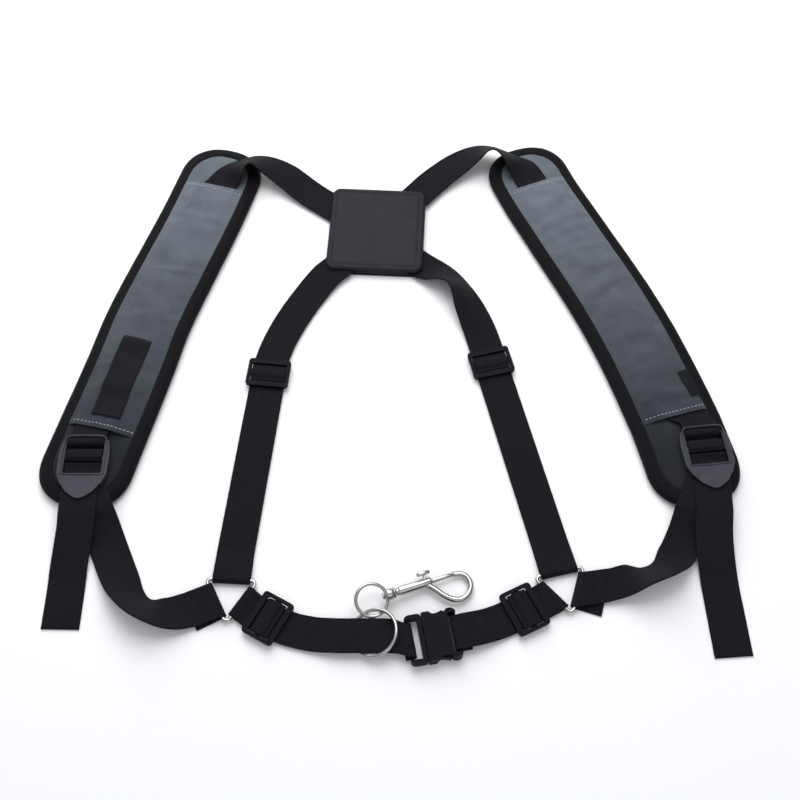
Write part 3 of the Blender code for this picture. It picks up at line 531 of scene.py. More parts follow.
# The routes of the webs' middles. A row is x, y, z in mm and heading in degrees, then any roll.
SHOULDER_LEFT = [
    (-3, 2, 3.2, 142), (-44, 31, 3.2, 142), (-66, 47, 4.5, 142), (-88, 64, 9.5, 146, -4),
    (-106, 73, 15, 156, -18), (-119, 75.5, 19.5, 176, -34), (-129, 71.5, 20.5, 202, -38),
    (-136, 67, 18.4, 216, -26), (-144, 60.5, 13, 234, -6), (-150, 53, PAD_LAYER + 0.1, 245),
    (-157, 42, PAD_LAYER, 251), (-179, -20, PAD_LAYER, 252), (-202, -94, PAD_LAYER, 254),
    (-218, -160, PAD_LAYER, 256), (-232, -204, PAD_LAYER + 0.3, 262),
    (-238, -219, PAD_SECOND_LAYER + 0.4, 268)]
SHOULDER_RIGHT = [
    (3, 2, 5.3, 49), (38, 42, 5.3, 49), (56, 62, 5.5, 45), (78, 80, 9, 38, 8), (97, 89, 15, 14, 24),
    (110, 90, 19.5, -12, 40), (120, 86, 21, -30, 46), (131, 78, 19, -44, 34), (141, 70, 14, -57, 8),
    (148, 58.5, PAD_LAYER + 0.2, -65), (152, 50, PAD_LAYER, -66), (180, -5, PAD_LAYER, -65),
    (209, -68, PAD_LAYER, -66), (230, -120, PAD_LAYER, -69), (250, -176, PAD_LAYER, -68),
    (262, -200, PAD_LAYER + 0.3, -70), (273.4, -210, PAD_SECOND_LAYER + 0.4, -83)]
BACK_LEFT = [
    (-5, -8, 5.3, 229), (-34, -40, 5.3, 229), (-47, -53, 4.5, 230), (-63, -77, 3, 236),
    (-76, -101, SECOND_LAYER, 246), (-86, -125, SECOND_LAYER, 256), (-92, -146, SECOND_LAYER, 264)]
BACK_RIGHT = [
    (3, -5, 3.2, -38), (38, -36, 3.2, -38), (52, -46, 4.8, -38, 8), (65, -54.5, 9.5, -43, 30),
    (76, -67, 11.6, -57, 40), (85, -88, 7, -66, 18), (94, -113, SECOND_LAYER + 0.3, -72, 2),
    (100, -136, SECOND_LAYER, -76)]
FRONT_LEFT = [
    (-240, -248.5, PAD_LAYER, -90), (-238, -262, PAD_LAYER, -84), (-233, -276, PAD_LAYER, -74),
    (-227, -289, PAD_LAYER, -68), (-221, -302, 5, -66), (-214, -318, 1.3, -67), (-201, -345, 5, -70, 12),
    (-190, -364, 10, -58, 38), (-176, -375, 11, -15, 42), (-158, -377, 6, 16, 14),
    (-142, -373, SECOND_LAYER + 0.4, 25)]
FRONT_RIGHT = [
    (277, -239.5, PAD_LAYER, -84), (276, -252, PAD_LAYER, -92), (271, -268, PAD_LAYER, -106),
    (265, -284, PAD_LAYER, -110), (261, -291, 9.8, -112), (256, -304, 4.2, -114), (251, -315, 1.8, -115),
    (244, -327, 3.6, -120, -10), (232, -341, 11, -138, -42), (216, -348, 11, -170, -44),
    (200, -350, 5.5, -184, -12), (186, -353, SECOND_LAYER + 0.4, -194)]
TAIL_LEFT = [
    (-240, -250.6, PAD_SECOND_LAYER + 2.2, -90), (-240, -256, PAD_SECOND_LAYER + 0.2, -90),
    (-240, -270, PAD_SECOND_LAYER, -90), (-240, -292, PAD_SECOND_LAYER + 0.2, -90), (-240, -306, 10, -90),
    (-241, -322, 6.5, -91), (-242, -339, 3, -91), (-242, -356, 1.1, -91), (-242, -388, TABLE_LAYER, -91)]
TAIL_RIGHT = [
    (277.4, -241.6, PAD_SECOND_LAYER + 2.2, -84), (278, -247, PAD_SECOND_LAYER + 0.2, -84),
    (279, -261, PAD_SECOND_LAYER, -87), (278, -277, PAD_SECOND_LAYER + 0.2, -90), (277, -293, 12.6, -91),
    (275, -309, 9.8, -91), (274.3, -328, 6.6, -90), (275, -348, 2.4, -88), (276, -366, 1, -87),
    (278, -410, TABLE_LAYER, -86)]


def shoulder_straps():
    top, heading = lock_bar(LOCK_LEFT, 0), LOCK_LEFT[1]
    loop = wrap(top, heading, LOCK_WRAP, 100, -90)
    loop.append((Vector((-239.5, -219, PAD_LAYER)), loop[-1][1].copy()))
    lay("shoulder_strap_left", route(SHOULDER_LEFT) + loop, "shoulder_web_left")
    top, heading = lock_bar(LOCK_RIGHT, 0), LOCK_RIGHT[1]
    loop = wrap(top, heading, LOCK_WRAP, 100, -90)
    loop.append((loop[-1][0] - flat_direction(heading) * 11, loop[-1][1].copy()))
    lay("shoulder_strap_right", route(SHOULDER_RIGHT) + loop, "shoulder_web_right")


def back_straps():
    for side, rows, run, ring, outward, under in (
            ("left", BACK_LEFT, ((-93, -156), (-110, -325), 264.3), RING_LEFT, 87,
             ((-110, -325), (-93.5, -161), 84.3)),
            ("right", BACK_RIGHT, ((102, -146), (143, -318), -76.6), RING_RIGHT, 103,
             ((143, -318), (103, -149), 103.4))):
        first, last, heading = run
        flat = straight((*first, SECOND_LAYER), (*last, SECOND_LAYER), heading)
        lay(f"back_strap_{side}", route(rows) + flat + ring_loop(ring, outward, 0), f"back_web_{side}")
        first, last, heading = under
        rows = [(*first, TABLE_LAYER, heading), (*last, TABLE_LAYER, heading)]
        lay(f"back_strap_{side}_under", ring_return(ring, outward, rows), f"back_web_{side}_return")


def front_straps():
    for side, front, tail, ring, outward, lock in (
            ("left", FRONT_LEFT, TAIL_LEFT, RING_LEFT, 207, LOCK_LEFT),
            ("right", FRONT_RIGHT, TAIL_RIGHT, RING_RIGHT, -17, LOCK_RIGHT)):
        over = wrap(lock_bar(lock, LOCK_BAR_PITCH), lock[1], LOCK_WRAP, -300, -100, 24)
        back = flat_direction(lock[1])
        bar = Vector(lock_bar(lock, LOCK_BAR_PITCH))
        for point, _ in over:
            behind = (point - bar).dot(back)
            if behind < 0:
                point += back * behind * 1.7
        strap = web(f"front_strap_{side}", route(front) + ring_loop(ring, outward, 22))
        wrap_piece = web(f"front_strap_{side}_over_bar", over)
        tail_piece = web(f"tail_{side}", route(tail))
        for piece, node in ((strap, f"front_web_{side}"), (tail_piece, f"tail_web_{side}")):
            dress(piece, None, "webbing", node)
            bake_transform(piece)
        dress(wrap_piece, f"lock_{side}", "webbing", f"front_web_{side}_bar_wrap")


BUCKLE_CENTRE = (47.5, -396.0)
BUCKLE_TURN = 10.0
BUCKLE_Z = 6.0
BUCKLE_BAR = 18.6
BUCKLE_WRAP = 1.3 * 1.42 + 0.3 + WEB_THICK / 2
BUCKLE_WEB_Z = BUCKLE_Z + BUCKLE_WRAP
BELT_LEFT = [
    (-94, -372.9, SECOND_LAYER, -31), (-82, -379.7, SECOND_LAYER, -29), (-66, -387.5, SECOND_LAYER, -24),
    (-46, -392.5, 3.4, -10), (-28, -394.8, 6.8, -3), (-14, -395.2, 7.8, 0), (6, -395.2, 7.6, 0),
    (18, -395.6, 7.6, 5), (25, -398.2, BUCKLE_WEB_Z, 10)]
BELT_RIGHT = [
    (133, -366.6, SECOND_LAYER, 211), (121, -372.5, SECOND_LAYER, 206), (104, -380.5, SECOND_LAYER, 204),
    (92, -385.4, 4.4, 201), (82, -388.8, 7.2, 196), (73, -391, BUCKLE_WEB_Z, 191)]


def buckle_loop(end, flap):
    x, y = place([(end * BUCKLE_BAR, 0)], BUCKLE_CENTRE, BUCKLE_TURN)[0]
    heading = BUCKLE_TURN + (0 if end < 0 else 180)
    loop = wrap((x, y, BUCKLE_Z), heading, BUCKLE_WRAP, 90, -90)
    loop.append((loop[-1][0] - flat_direction(heading) * flap, loop[-1][1].copy()))
    return loop


def belt_start(ring, outward):
    """The belt's round-the-ring stretch, turned to run away from the ring."""
    return [(point, across * -1) for point, across in reversed(ring_loop(ring, outward, 0))]


def belt_straps():
    strap = web("belt_strap_left", belt_start(RING_LEFT, -33) + route(BELT_LEFT) + buckle_loop(-1, 5),
                width=BELT_WEB_WIDTH)
    dress(strap, None, "webbing", "belt_web_left")
    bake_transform(strap)
    lay("belt_strap_left_under",
        ring_return(RING_LEFT, -33, [(-92, -374.5, TABLE_LAYER, -30), (-80, -381, TABLE_LAYER, -29)]),
        "belt_web_left_return", BELT_WEB_WIDTH)
    lay("belt_strap_right", belt_start(RING_RIGHT, 223) + route(BELT_RIGHT) + buckle_loop(1, 10),
        "belt_web_right", BELT_WEB_WIDTH)
    lay("belt_strap_right_under",
        ring_return(RING_RIGHT, 223, [(131, -367.5, TABLE_LAYER, 208), (117, -374.4, TABLE_LAYER, 206)]),
        "belt_web_right_return", BELT_WEB_WIDTH)


SLIDER_BASE = SECOND_LAYER + WEB_THICK / 2 + 0.3
SLIDERS = {"back_slider_left": ((-93.2, -158.0), 264.3), "back_slider_right": ((102.2, -147.0), -76.6),
           "belt_slider_left": ((-80.5, -380.6), -29.0), "belt_slider_right": ((119.0, -373.4), 206.0)}


def slider_arches():
    for name, (centre, heading) in SLIDERS.items():
        along, across = flat_direction(heading), flat_direction(heading - 90)
        bar_top = SLIDER_BASE + 1.4 + 0.3 + WEB_THICK / 2
        foot = SLIDER_BASE + WEB_THICK / 2
        profile = catmull_rom([(-7.6, foot), (-4.6, foot + 0.4), (-2.6, bar_top - 0.1),
                               (0, bar_top + 0.1), (2.6, bar_top - 0.1), (4.6, foot + 0.4),
                               (7.6, foot)], 5)
        stations = [(Vector((centre[0], centre[1], z)) + along * reach, across.copy())
                    for reach, z in profile]
        dress(web(name + "_arch", stations, spacing=0.9), name, "webbing", name + "_web")


# ---------------------------------------------------------------- shoulder pads

PAD_HALF_WIDTH = 39.5
PAD_END_ROUND = 38.0
PAD_LENGTH = 395.0
SLEEVE_ENDS = (50.0, 66.0)
BINDING_LIP = 11.0
CUSHION_SWELL = 3              # the most the pad's body may swell
PAD_AXES = {
    "left": [(-144, 99), (-168, 13), (-202, -94), (-216, -155), (-237, -242), (-247, -286)],
    "right": [(137, 101), (154, 52), (179, -3), (209, -68), (230, -120), (248, -176),
              (263, -232), (271, -285)]}


def pad_edges(axis, stops, inset):
    line = [Vector((x, y, 0)) for x, y in catmull_rom(axis, 16)]
    reach = reaches(line)
    total = reach[-1]
    left, right = [], []
    for stop in stops:
        stop = stop if stop >= 0 else total + stop
        i = max(k for k in range(len(reach) - 1) if reach[k] <= stop + 1e-6)
        point = line[i].lerp(line[i + 1], (stop - reach[i]) / (reach[i + 1] - reach[i]))
        heading = (line[min(i + 4, len(line) - 1)] - line[max(i - 3, 0)]).normalized()
        side = Vector((-heading.y, heading.x, 0))
        from_end = min(stop, total - stop) - inset
        round_part = min(1.0, max(0.0, 1 - from_end / (PAD_END_ROUND - inset * 0.5)))
        width = (PAD_HALF_WIDTH - inset) * (1 - round_part ** 2.3) ** (1 / 2.3)
        left.append(point + side * width)
        right.append(point - side * width)
    return left, right


def pad_outline(axis, inset):
    shares = (0.001, 0.008, 0.022, 0.045, 0.08, 0.125, 0.18, 0.25, 0.33, 0.42, 0.52, 0.64, 0.78, 0.9, 1)
    near = [inset + PAD_END_ROUND * share for share in shares]
    middle = [PAD_LENGTH * (0.14 + 0.72 * i / 60) for i in range(1, 60)]
    far = [-stop for stop in reversed(near)]
    left, right = pad_edges(axis, near + middle + far, inset)
    return [Vector((p.x, p.y, 0)) for p in left + list(reversed(right))]


def ripple(point, scale, seed):
    return noise.noise(Vector((point.x / scale, point.y / scale, seed)))


def make_binding(side, axis):
    profile = [(11.0, 9.35), (10.9, 9.85), (10.2, 10.05), (8.0, 10.0), (5.5, 9.8), (3.2, 9.2),
               (1.5, 8.1), (0.45, 6.6), (0.0, 4.9), (0.25, 3.2), (1.1, 1.5), (2.6, 0.4),
               (4.6, 0.06), (8.0, 0.02), (11.0, 0.02), (11.0, 0.9), (5.2, 1.0), (3.0, 1.5),
               (1.5, 3.2), (1.1, 4.9), (1.7, 6.6), (3.4, 8.0), (5.6, 8.8), (8.2, 9.05)]
    loops = []
    for inset, z in profile:
        loops.append((pad_outline(axis, inset), z, inset))
    count = len(loops[0][0])
    rim = loops[8][0]
    reach = reaches(rim)
    rows, uvs = [], []
    for k in range(count):
        row, spots = [], []
        sway = ripple(rim[k], 26.0, 3.1) * 0.35
        for j, (outline, z, inset) in enumerate(loops):
            p = outline[k].copy()
            pucker = ripple(rim[k], 4.2, 8.8) * 0.16 if 2 < j < 9 else 0.0
            inward = (loops[0][0][k] - rim[k]).normalized()
            p += inward * (sway if j < 4 else sway * 0.3)
            p.z = max(z + pucker + (ripple(rim[k], 17, 1.7) * 0.18 if j < 8 else 0.0), 0.02)
            row.append(p)
            spots.append((j * 1.15, reach[k]))
        rows.append(row)
        uvs.append(spots)
    binding = grid_mesh(f"pad_{side}_edge_binding", rows, BINDING, around=True, closed=True, uvs=uvs)
    dress(binding, "harness", "binding", f"pad_{side}_binding")
    return binding


def make_cushion(side, axis):
    """The pad's body under the sleeve and binding: swollen by a short cloth run."""
    outlines = [(12.0, 0.5), (4.0, 0.7), (2.2, 1.6), (1.8, 4.8), (3.4, 7.6), (6.0, 8.5), (12.0, 8.7),
                (20.0, 8.8), (28.0, 8.8)]
    rows = []
    for inset, z in outlines:
        rows.append([Vector((p.x, p.y, z)) for p in pad_outline(axis, inset)])
    body = grid_mesh(f"pad_{side}_cushion", rows, GREY, around=True, caps=True)
    remesh = body.modifiers.new("remesh", "REMESH")
    remesh.mode = "VOXEL"
    remesh.voxel_size = 4.5 * MM
    apply_all(body)
    rest = [v.co.copy() for v in body.data.vertices]
    run_cloth(body, 14, use_pressure=True, uniform_pressure_force=3.0)
    for v, was in zip(body.data.vertices, rest):
        move = v.co - was
        if move.length > CUSHION_SWELL * MM:
            v.co = was + move.normalized() * CUSHION_SWELL * MM
        v.co.z = min(max(v.co.z, 0.35 * MM), 9.55 * MM)
    smooth(body)
    body.data.materials.clear()
    body.data.materials.append(BASE)
    dress(body, "harness", "grey_fabric", f"pad_{side}_foam", f"pad_{side}_face", f"pad_{side}_lining")
    return body


def run_cloth(obj, frames, **settings):
    """A short cloth run without gravity, kept as the mesh it ends on."""
    cloth = obj.modifiers.new("cloth", "CLOTH")
    cloth.settings.effector_weights.gravity = 0.0
    for key, value in settings.items():
        setattr(cloth.settings, key, value)
    cloth.point_cache.frame_end = frames
    for number in range(1, frames + 1):
        bpy.context.scene.frame_set(number)
    apply_all(obj)


def apply_all(obj):
    evaluated = obj.evaluated_get(bpy.context.evaluated_depsgraph_get())
    mesh = bpy.data.meshes.new_from_object(evaluated)
    obj.modifiers.clear()
    obj.data = mesh
    bpy.context.scene.frame_set(1)


def smooth(obj):
    for face in obj.data.polygons:
        face.use_smooth = True


SLEEVE_PINS = 2                # rows of points held along each long edge
SLEEVE_SINK, SLEEVE_RISE, SLEEVE_SHIFT = 0.35, 1.5, 1.2   # the most the cloth run may move a point
SLEEVE_FOLDS = {               # where each soft fold crosses the panel, its height and width
    "left": [(88, 0.75, 3.6), (100, 0.35, 6.0), (156, 0.6, 3.2), (172, 0.3, 7.0), (212, 0.35, 5.0)],
    "right": [(78, 0.35, 6.0), (104, 0.8, 4.2), (117, 0.4, 5.0), (141, 0.9, 3.6), (158, 0.7, 4.4),
              (186, 0.45, 6.0), (240, 0.3, 7.0)],
}


def drape(rows, over, clearance, ground):
    """Raise a grid of points clear of the strap below, then ease the slope on each side."""
    need = []
    for row in rows:
        needed = []
        for p in row:
            below = max(over(p.x + dx, p.y + dy) for dx in (-2.5, 0, 2.5) for dy in (-2.5, 0, 2.5))
            needed.append(max(ground, below + clearance))
        need.append(needed)
    level = [list(row) for row in need]
    for _ in range(30):
        for i in range(len(rows)):
            for k in range(1, len(rows[0]) - 1):
                above, under = level[max(i - 1, 0)][k], level[min(i + 1, len(rows) - 1)][k]
                mean = (level[i][k - 1] + level[i][k + 1]) * 0.4 + (above + under) * 0.1
                level[i][k] = max(need[i][k], mean)
    for row, heights in zip(rows, level):
        for p, z in zip(row, heights):
            p.z = z


def make_sleeve(side, axis):
    """The grey panel over the strap, wrinkled by a short cloth run with slack in the fabric."""
    along_count, across_count = 116, 24
    span = PAD_LENGTH - sum(SLEEVE_ENDS)
    stops = [SLEEVE_ENDS[0] + span * i / along_count for i in range(along_count + 1)]
    left, right = pad_edges(axis, stops, BINDING_LIP - 1.2)
    rows = [[a.lerp(b, k / across_count) for k in range(across_count + 1)] for a, b in zip(left, right)]
    drape(rows, surface(bpy.data.objects[f"shoulder_strap_{side}"]), 1.15, 9.6)
    for i, row in enumerate(rows):
        end = min(1.0, min(i, along_count - i) / 6.0)
        for k, p in enumerate(row):
            share = k / across_count
            belly = math.sin(math.pi * share) ** 0.6 * end
            p.z += 0.12 * ripple(p, 14, 4.4) * belly
            for middle, rise, wide in SLEEVE_FOLDS[side]:
                bowed = middle + 4.5 * math.sin(2.6 * share + middle)
                p.z += rise * math.exp(-((stops[i] - bowed) / wide) ** 2) * belly
    panel = grid_mesh(f"pad_{side}_sleeve_panel", rows, GREY)
    rest = [v.co.copy() for v in panel.data.vertices]
    pins = panel.vertex_groups.new(name="pins")
    wide = across_count + 1
    fixed = []
    for i in range(along_count + 1):
        for k in range(wide):
            if i in (0, along_count) or k < SLEEVE_PINS or k >= wide - SLEEVE_PINS:
                fixed.append(i * wide + k)
    pins.add(fixed, 1.0, "REPLACE")
    run_cloth(panel, 24, vertex_group_mass="pins", shrink_min=-0.012, quality=6,
              bending_stiffness=4.0, tension_stiffness=20, compression_stiffness=20)
    for v, was in zip(panel.data.vertices, rest):
        move = (v.co.z - was.z) / MM
        v.co.z = was.z + min(max(move, -SLEEVE_SINK), SLEEVE_RISE) * MM
        flat = Vector((v.co.x - was.x, v.co.y - was.y, 0))
        if flat.length > SLEEVE_SHIFT * MM:
            flat = flat.normalized() * SLEEVE_SHIFT * MM
            v.co.x, v.co.y = was.x + flat.x, was.y + flat.y
    thick = panel.modifiers.new("thickness", "SOLIDIFY")
    thick.thickness = 0.8 * MM
    thick.offset = -1.0
    finer = panel.modifiers.new("finer", "SUBSURF")
    finer.levels = finer.render_levels = 1
    apply_all(panel)
    smooth(panel)
    dress(panel, "harness", "grey_fabric", f"pad_{side}_sleeve")
    return panel


def surface(*objects):
    """A height finder over the given pieces, in millimetres."""
    trees = []
    for obj in objects:
        trees.append(BVHTree.FromPolygons([v.co for v in obj.data.vertices],
                                          [p.vertices for p in obj.data.polygons]))

    def height(x, y):
        best = 0.0
        for tree in trees:
            hit = tree.ray_cast(Vector((x * MM, y * MM, 0.2)), Vector((0, 0, -1)))
            if hit[0] is not None:
                best = max(best, hit[0].z / MM)
        return best
    return height


def stitches(name, points, height, finish, pitch=3.0, length=2.1, radius=0.26):
    """A row of thread stitches along points in plan, each lying on the surface below it."""
    line = [Vector((x, y, 0)) for x, y in points]
    reach = reaches(line)

    def at(want):
        k = 0
        while k < len(reach) - 2 and reach[k + 1] < want:
            k += 1
        share = (want - reach[k]) / max(reach[k + 1] - reach[k], 1e-6)
        return line[k].lerp(line[k + 1], share)

    form = bmesh.new()
    for i in range(int(reach[-1] / pitch)):
        start = i * pitch
        rings = []
        for j in range(5):
            share = j / 4
            spot = at(start + length * share)
            ahead = at(min(start + length * share + 0.3, reach[-1]))
            along = ahead - spot
            if along.length < 1e-6:
                along = line[-1] - line[-2]
            along.normalize()
            side = Vector((-along.y, along.x, 0))
            bulge = math.sin(math.pi * (0.08 + 0.84 * share))
            z = height(spot.x, spot.y) - radius * 0.9 + radius * 1.1 * bulge
            ring = []
            for m in range(6):
                angle = math.tau * m / 6
                p = spot + side * (radius * (0.4 + 0.6 * bulge) * math.cos(angle))
                p.z = z + radius * (0.4 + 0.6 * bulge) * math.sin(angle)
                ring.append(form.verts.new(p * MM))
            rings.append(ring)
        for a, b in zip(rings, rings[1:]):
            for m in range(6):
                form.faces.new((a[m], a[(m + 1) % 6], b[(m + 1) % 6], b[m])).smooth = True
        form.faces.new(reversed(rings[0]))
        form.faces.new(rings[-1])
    bmesh.ops.recalc_face_normals(form, faces=form.faces)
    return placed(name, form, finish)


def make_pads():
    tops = {}
    for side, axis in PAD_AXES.items():
        cushion = make_cushion(side, axis)
        binding = make_binding(side, axis)
        sleeve = make_sleeve(side, axis)
        height = surface(cushion, binding, sleeve)
        tops[side] = height
        rim = pad_outline(axis, BINDING_LIP - 1.6)
        rim = [(p.x, p.y) for p in rim + rim[:1]]
        dress(stitches(f"pad_{side}_binding_stitches", rim, height, THREAD_BLACK, 3.2, 2.3, 0.24),
              "harness", "binding")
        for end, stop in (("top", SLEEVE_ENDS[0] + 4.6), ("bottom", PAD_LENGTH - SLEEVE_ENDS[1] - 4.4)):
            left, right = pad_edges(axis, [stop], BINDING_LIP + 0.6)
            seam = [left[0].lerp(right[0], i / 12) for i in range(13)]
            name = f"pad_{side}_{end}_seam_stitches"
            row = stitches(name, [(p.x, p.y) for p in seam], height, THREAD_GREY, 3.4, 2.5, 0.46)
            dress(row, "harness", "grey_fabric")
    return tops


PATCH_WIDTH = 26.0


def make_labels(tops):
    height = tops["left"]
    patch = route([(-209.5, -127, 0, 256, 0), (-220, -170, 0, 256, 0), (-228, -206, 0, 258, 0)], 14)
    rows, uvs, reach = [], [], 0.0
    last = patch[0][0]
    for point, across in patch:
        reach += (point - last).length
        last = point
        row = []
        for k in range(15):
            p = point + across * (PATCH_WIDTH * (k / 14 - 0.5))
            edge = k in (0, 1, 13, 14) or len(rows) in (0, 1, len(patch) - 2, len(patch) - 1)
            p.z = height(p.x, p.y) + (0.7 if edge else 0.35)
            row.append(p)
        rows.append(row)
        uvs.append([(PATCH_WIDTH * k / 14, reach) for k in range(15)])
    label = grid_mesh("left_blank_patch", rows, PATCH, uvs=uvs)
    thick = label.modifiers.new("thickness", "SOLIDIFY")
    thick.thickness = 0.45 * MM
    thick.offset = 0.0
    apply_all(label)
    dress(label, "harness", "label", "pad_left_label")
    tag = route([(267, -160, 13.4, -70, 4), (272, -174, 13.9, -70, 6), (276, -184.5, 13.7, -70, 3)], 8)
    piece = web("right_blank_tag", tag, PATCH, 9.0, 0.7, spacing=0.8)
    dress(piece, "harness", "label", "pad_right_tag")


# ---------------------------------------------------------------- back plate and hard parts

def rounded_box(length, width, corner, steps=8):
    points = []
    for quarter, (sx, sy) in enumerate(((1, 1), (-1, 1), (-1, -1), (1, -1))):
        for i in range(steps + 1):
            angle = math.radians(90 * quarter + 90 * i / steps)
            points.append((sx * (length / 2 - corner) + corner * math.cos(angle),
                           sy * (width / 2 - corner) + corner * math.sin(angle)))
    return points


PLATE_LENGTH, PLATE_WIDTH, PLATE_CORNER, PLATE_TURN = 90, 97, 8.0, -3.0
PLATE_SEAM = 5.4               # inset of the stitched groove


def plate_outline(inset, corner):
    box = rounded_box(PLATE_LENGTH - 2 * inset, PLATE_WIDTH - 2 * inset, corner)
    return place(box, (0, 0), PLATE_TURN)


def plate_ring(inset, z):
    return [Vector((x, y, z)) for x, y in plate_outline(inset, max(PLATE_CORNER - inset, 1.2))]


def make_plate():
    rows = [plate_ring(*r) for r in ((3, 2.2), (0.4, 2.25), (0.0, 2.8), (0.0, 5.6), (0.25, 7.0),
                                     (0.9, 8.1), (2.0, 8.8), (3.2, 9.05), (4.3, 9.0), (4.9, 8.72),
                                     (5.4, 8.62), (5.9, 8.72), (6.6, 9.0), (9.0, 9.12),
                                     (14, 9.2), (22, 9.2), (34, 9.2), (42, 9.2))]
    cover = grid_mesh("back_plate_cover", rows, LEATHER, around=True, caps=True)
    cutters = []
    for name, size, centre, turn in (("way_low", (150, 35.6, 1), (-2.4, -3), -38),
                                     ("way_high", (150, 33, 1), (0, 0), 49)):
        outline = place(rounded_box(*size, steps=2), centre, turn)
        block = grid_mesh(name, [[Vector((x, y, z)) for x, y in outline] for z in (-1, 6.42)], None,
                          around=True, caps=True)
        block.hide_render = True
        step = cover.modifiers.new(name, "BOOLEAN")
        step.operation = "DIFFERENCE"
        step.object = block
        cutters.append(block)
    apply_all(cover)
    for block in cutters:
        bpy.data.objects.remove(block, do_unlink=True)
    smooth(cover)
    dress(cover, "harness", "leatherette", "back_plate_front")
    seam = plate_outline(PLATE_SEAM, 3.2)
    row = stitches("back_plate_stitches", seam + seam[:1], surface(cover), THREAD_BLACK, 2.9, 2.1, 0.26)
    dress(row, "harness", "leatherette")


def strap_seams():
    """Cross stitching on the straps: bar tacks by the sliders, hems on the tails, ring seams."""
    find = {o.name: o for o in bpy.context.scene.objects}

    def across(name, strap, centre, heading, offsets, reach=11.5, body="harness"):
        height = surface(find[strap])
        for i, off in enumerate(offsets):
            middle = Vector((*centre, 0)) + flat_direction(heading) * off
            side = flat_direction(heading - 90)
            points = [middle + side * (reach * (k / 8 - 0.5) * 2) for k in range(9)]
            row = stitches(f"{name}_{i}", [(p.x, p.y) for p in points], height, THREAD_BLACK, 2.4, 1.8,
                           0.26)
            dress(row, body, "webbing")

    across("back_left_tack", "back_strap_left", (-94.9, -175.5), 264.3, (0, 3.2))
    across("back_right_tack", "back_strap_right", (106.4, -164.5), -76.6, (0, 3.2))
    across("tail_left_hem", "tail_left", (-242, -384), -91, (0, -9))
    across("tail_right_hem", "tail_right", (277.8, -406), -86, (0, -9))
    across("front_left_seam", "front_strap_left", (-139, -372.5), 25, (-2.4, 0, 2.4))
    across("front_right_seam", "front_strap_right", (180, -352.5), -190, (-2.4, 0, 2.4))
    across("belt_right_seam", "belt_strap_right", (87, -387.5), 199, (0, 2.4), 10.5)
    across("belt_left_seam", "belt_strap_left", (23, -397.2), 9, (0,), 10.5, "buckle_male")


def ring_points(centre, normal, radius, steps):
    side = Vector((1, 0, 0)) - normal * normal.x
    side.normalize()
    other = normal.cross(side)
    return [centre + side * (radius * math.cos(math.tau * i / steps))
            + other * (radius * math.sin(math.tau * i / steps)) for i in range(steps)]


def make_rings():
    for side, ((cx, cy), turn) in (("left", RING_LEFT), ("right", RING_RIGHT)):
        points = []
        for corner in range(3):
            azimuth = turn + 120 * corner
            for step in range(13):
                off = -60 + 10 * step
                inner = flat_direction(azimuth) * (RING_CORNER - 6.0)
                bend = flat_direction(azimuth + off) * 3.0
                points.append((cx + inner.x + bend.x, cy + inner.y + bend.y, TRIANGLE_Z))
        wire = tube(f"triangle_wire_{side}", points, TRIANGLE_WIRE, NICKEL, closed=True, sides=16)
        dress(wire, "harness", "nickel", f"triangle_ring_{side}")
    tilt = math.radians(20.0)
    normal = Vector((-math.sin(tilt), 0, math.cos(tilt)))
    ring = tube("belt_wire_ring", ring_points(Vector((2.0, -393.0, 7.9)), normal, 18.3, 96), 1.5, NICKEL,
                closed=True, sides=18)
    dress(ring, "belt_ring", "nickel", "belt_ring")


EYE_CENTRE = Vector((0.0, -367.5, 10.0))
EYE_NORMAL = Vector((0.18, -0.246, 1.0)).normalized()


def hook_frame():
    """Unit vectors along the hook, away from its eye, and to its left."""
    along = Vector((math.cos(math.radians(20.0)), math.sin(math.radians(20.0)), -0.085)).normalized()
    return along, Vector((-along.y, along.x, 0)).normalized()


def hook_point(s, t):
    along, left = hook_frame()
    return EYE_CENTRE + along * s + left * t


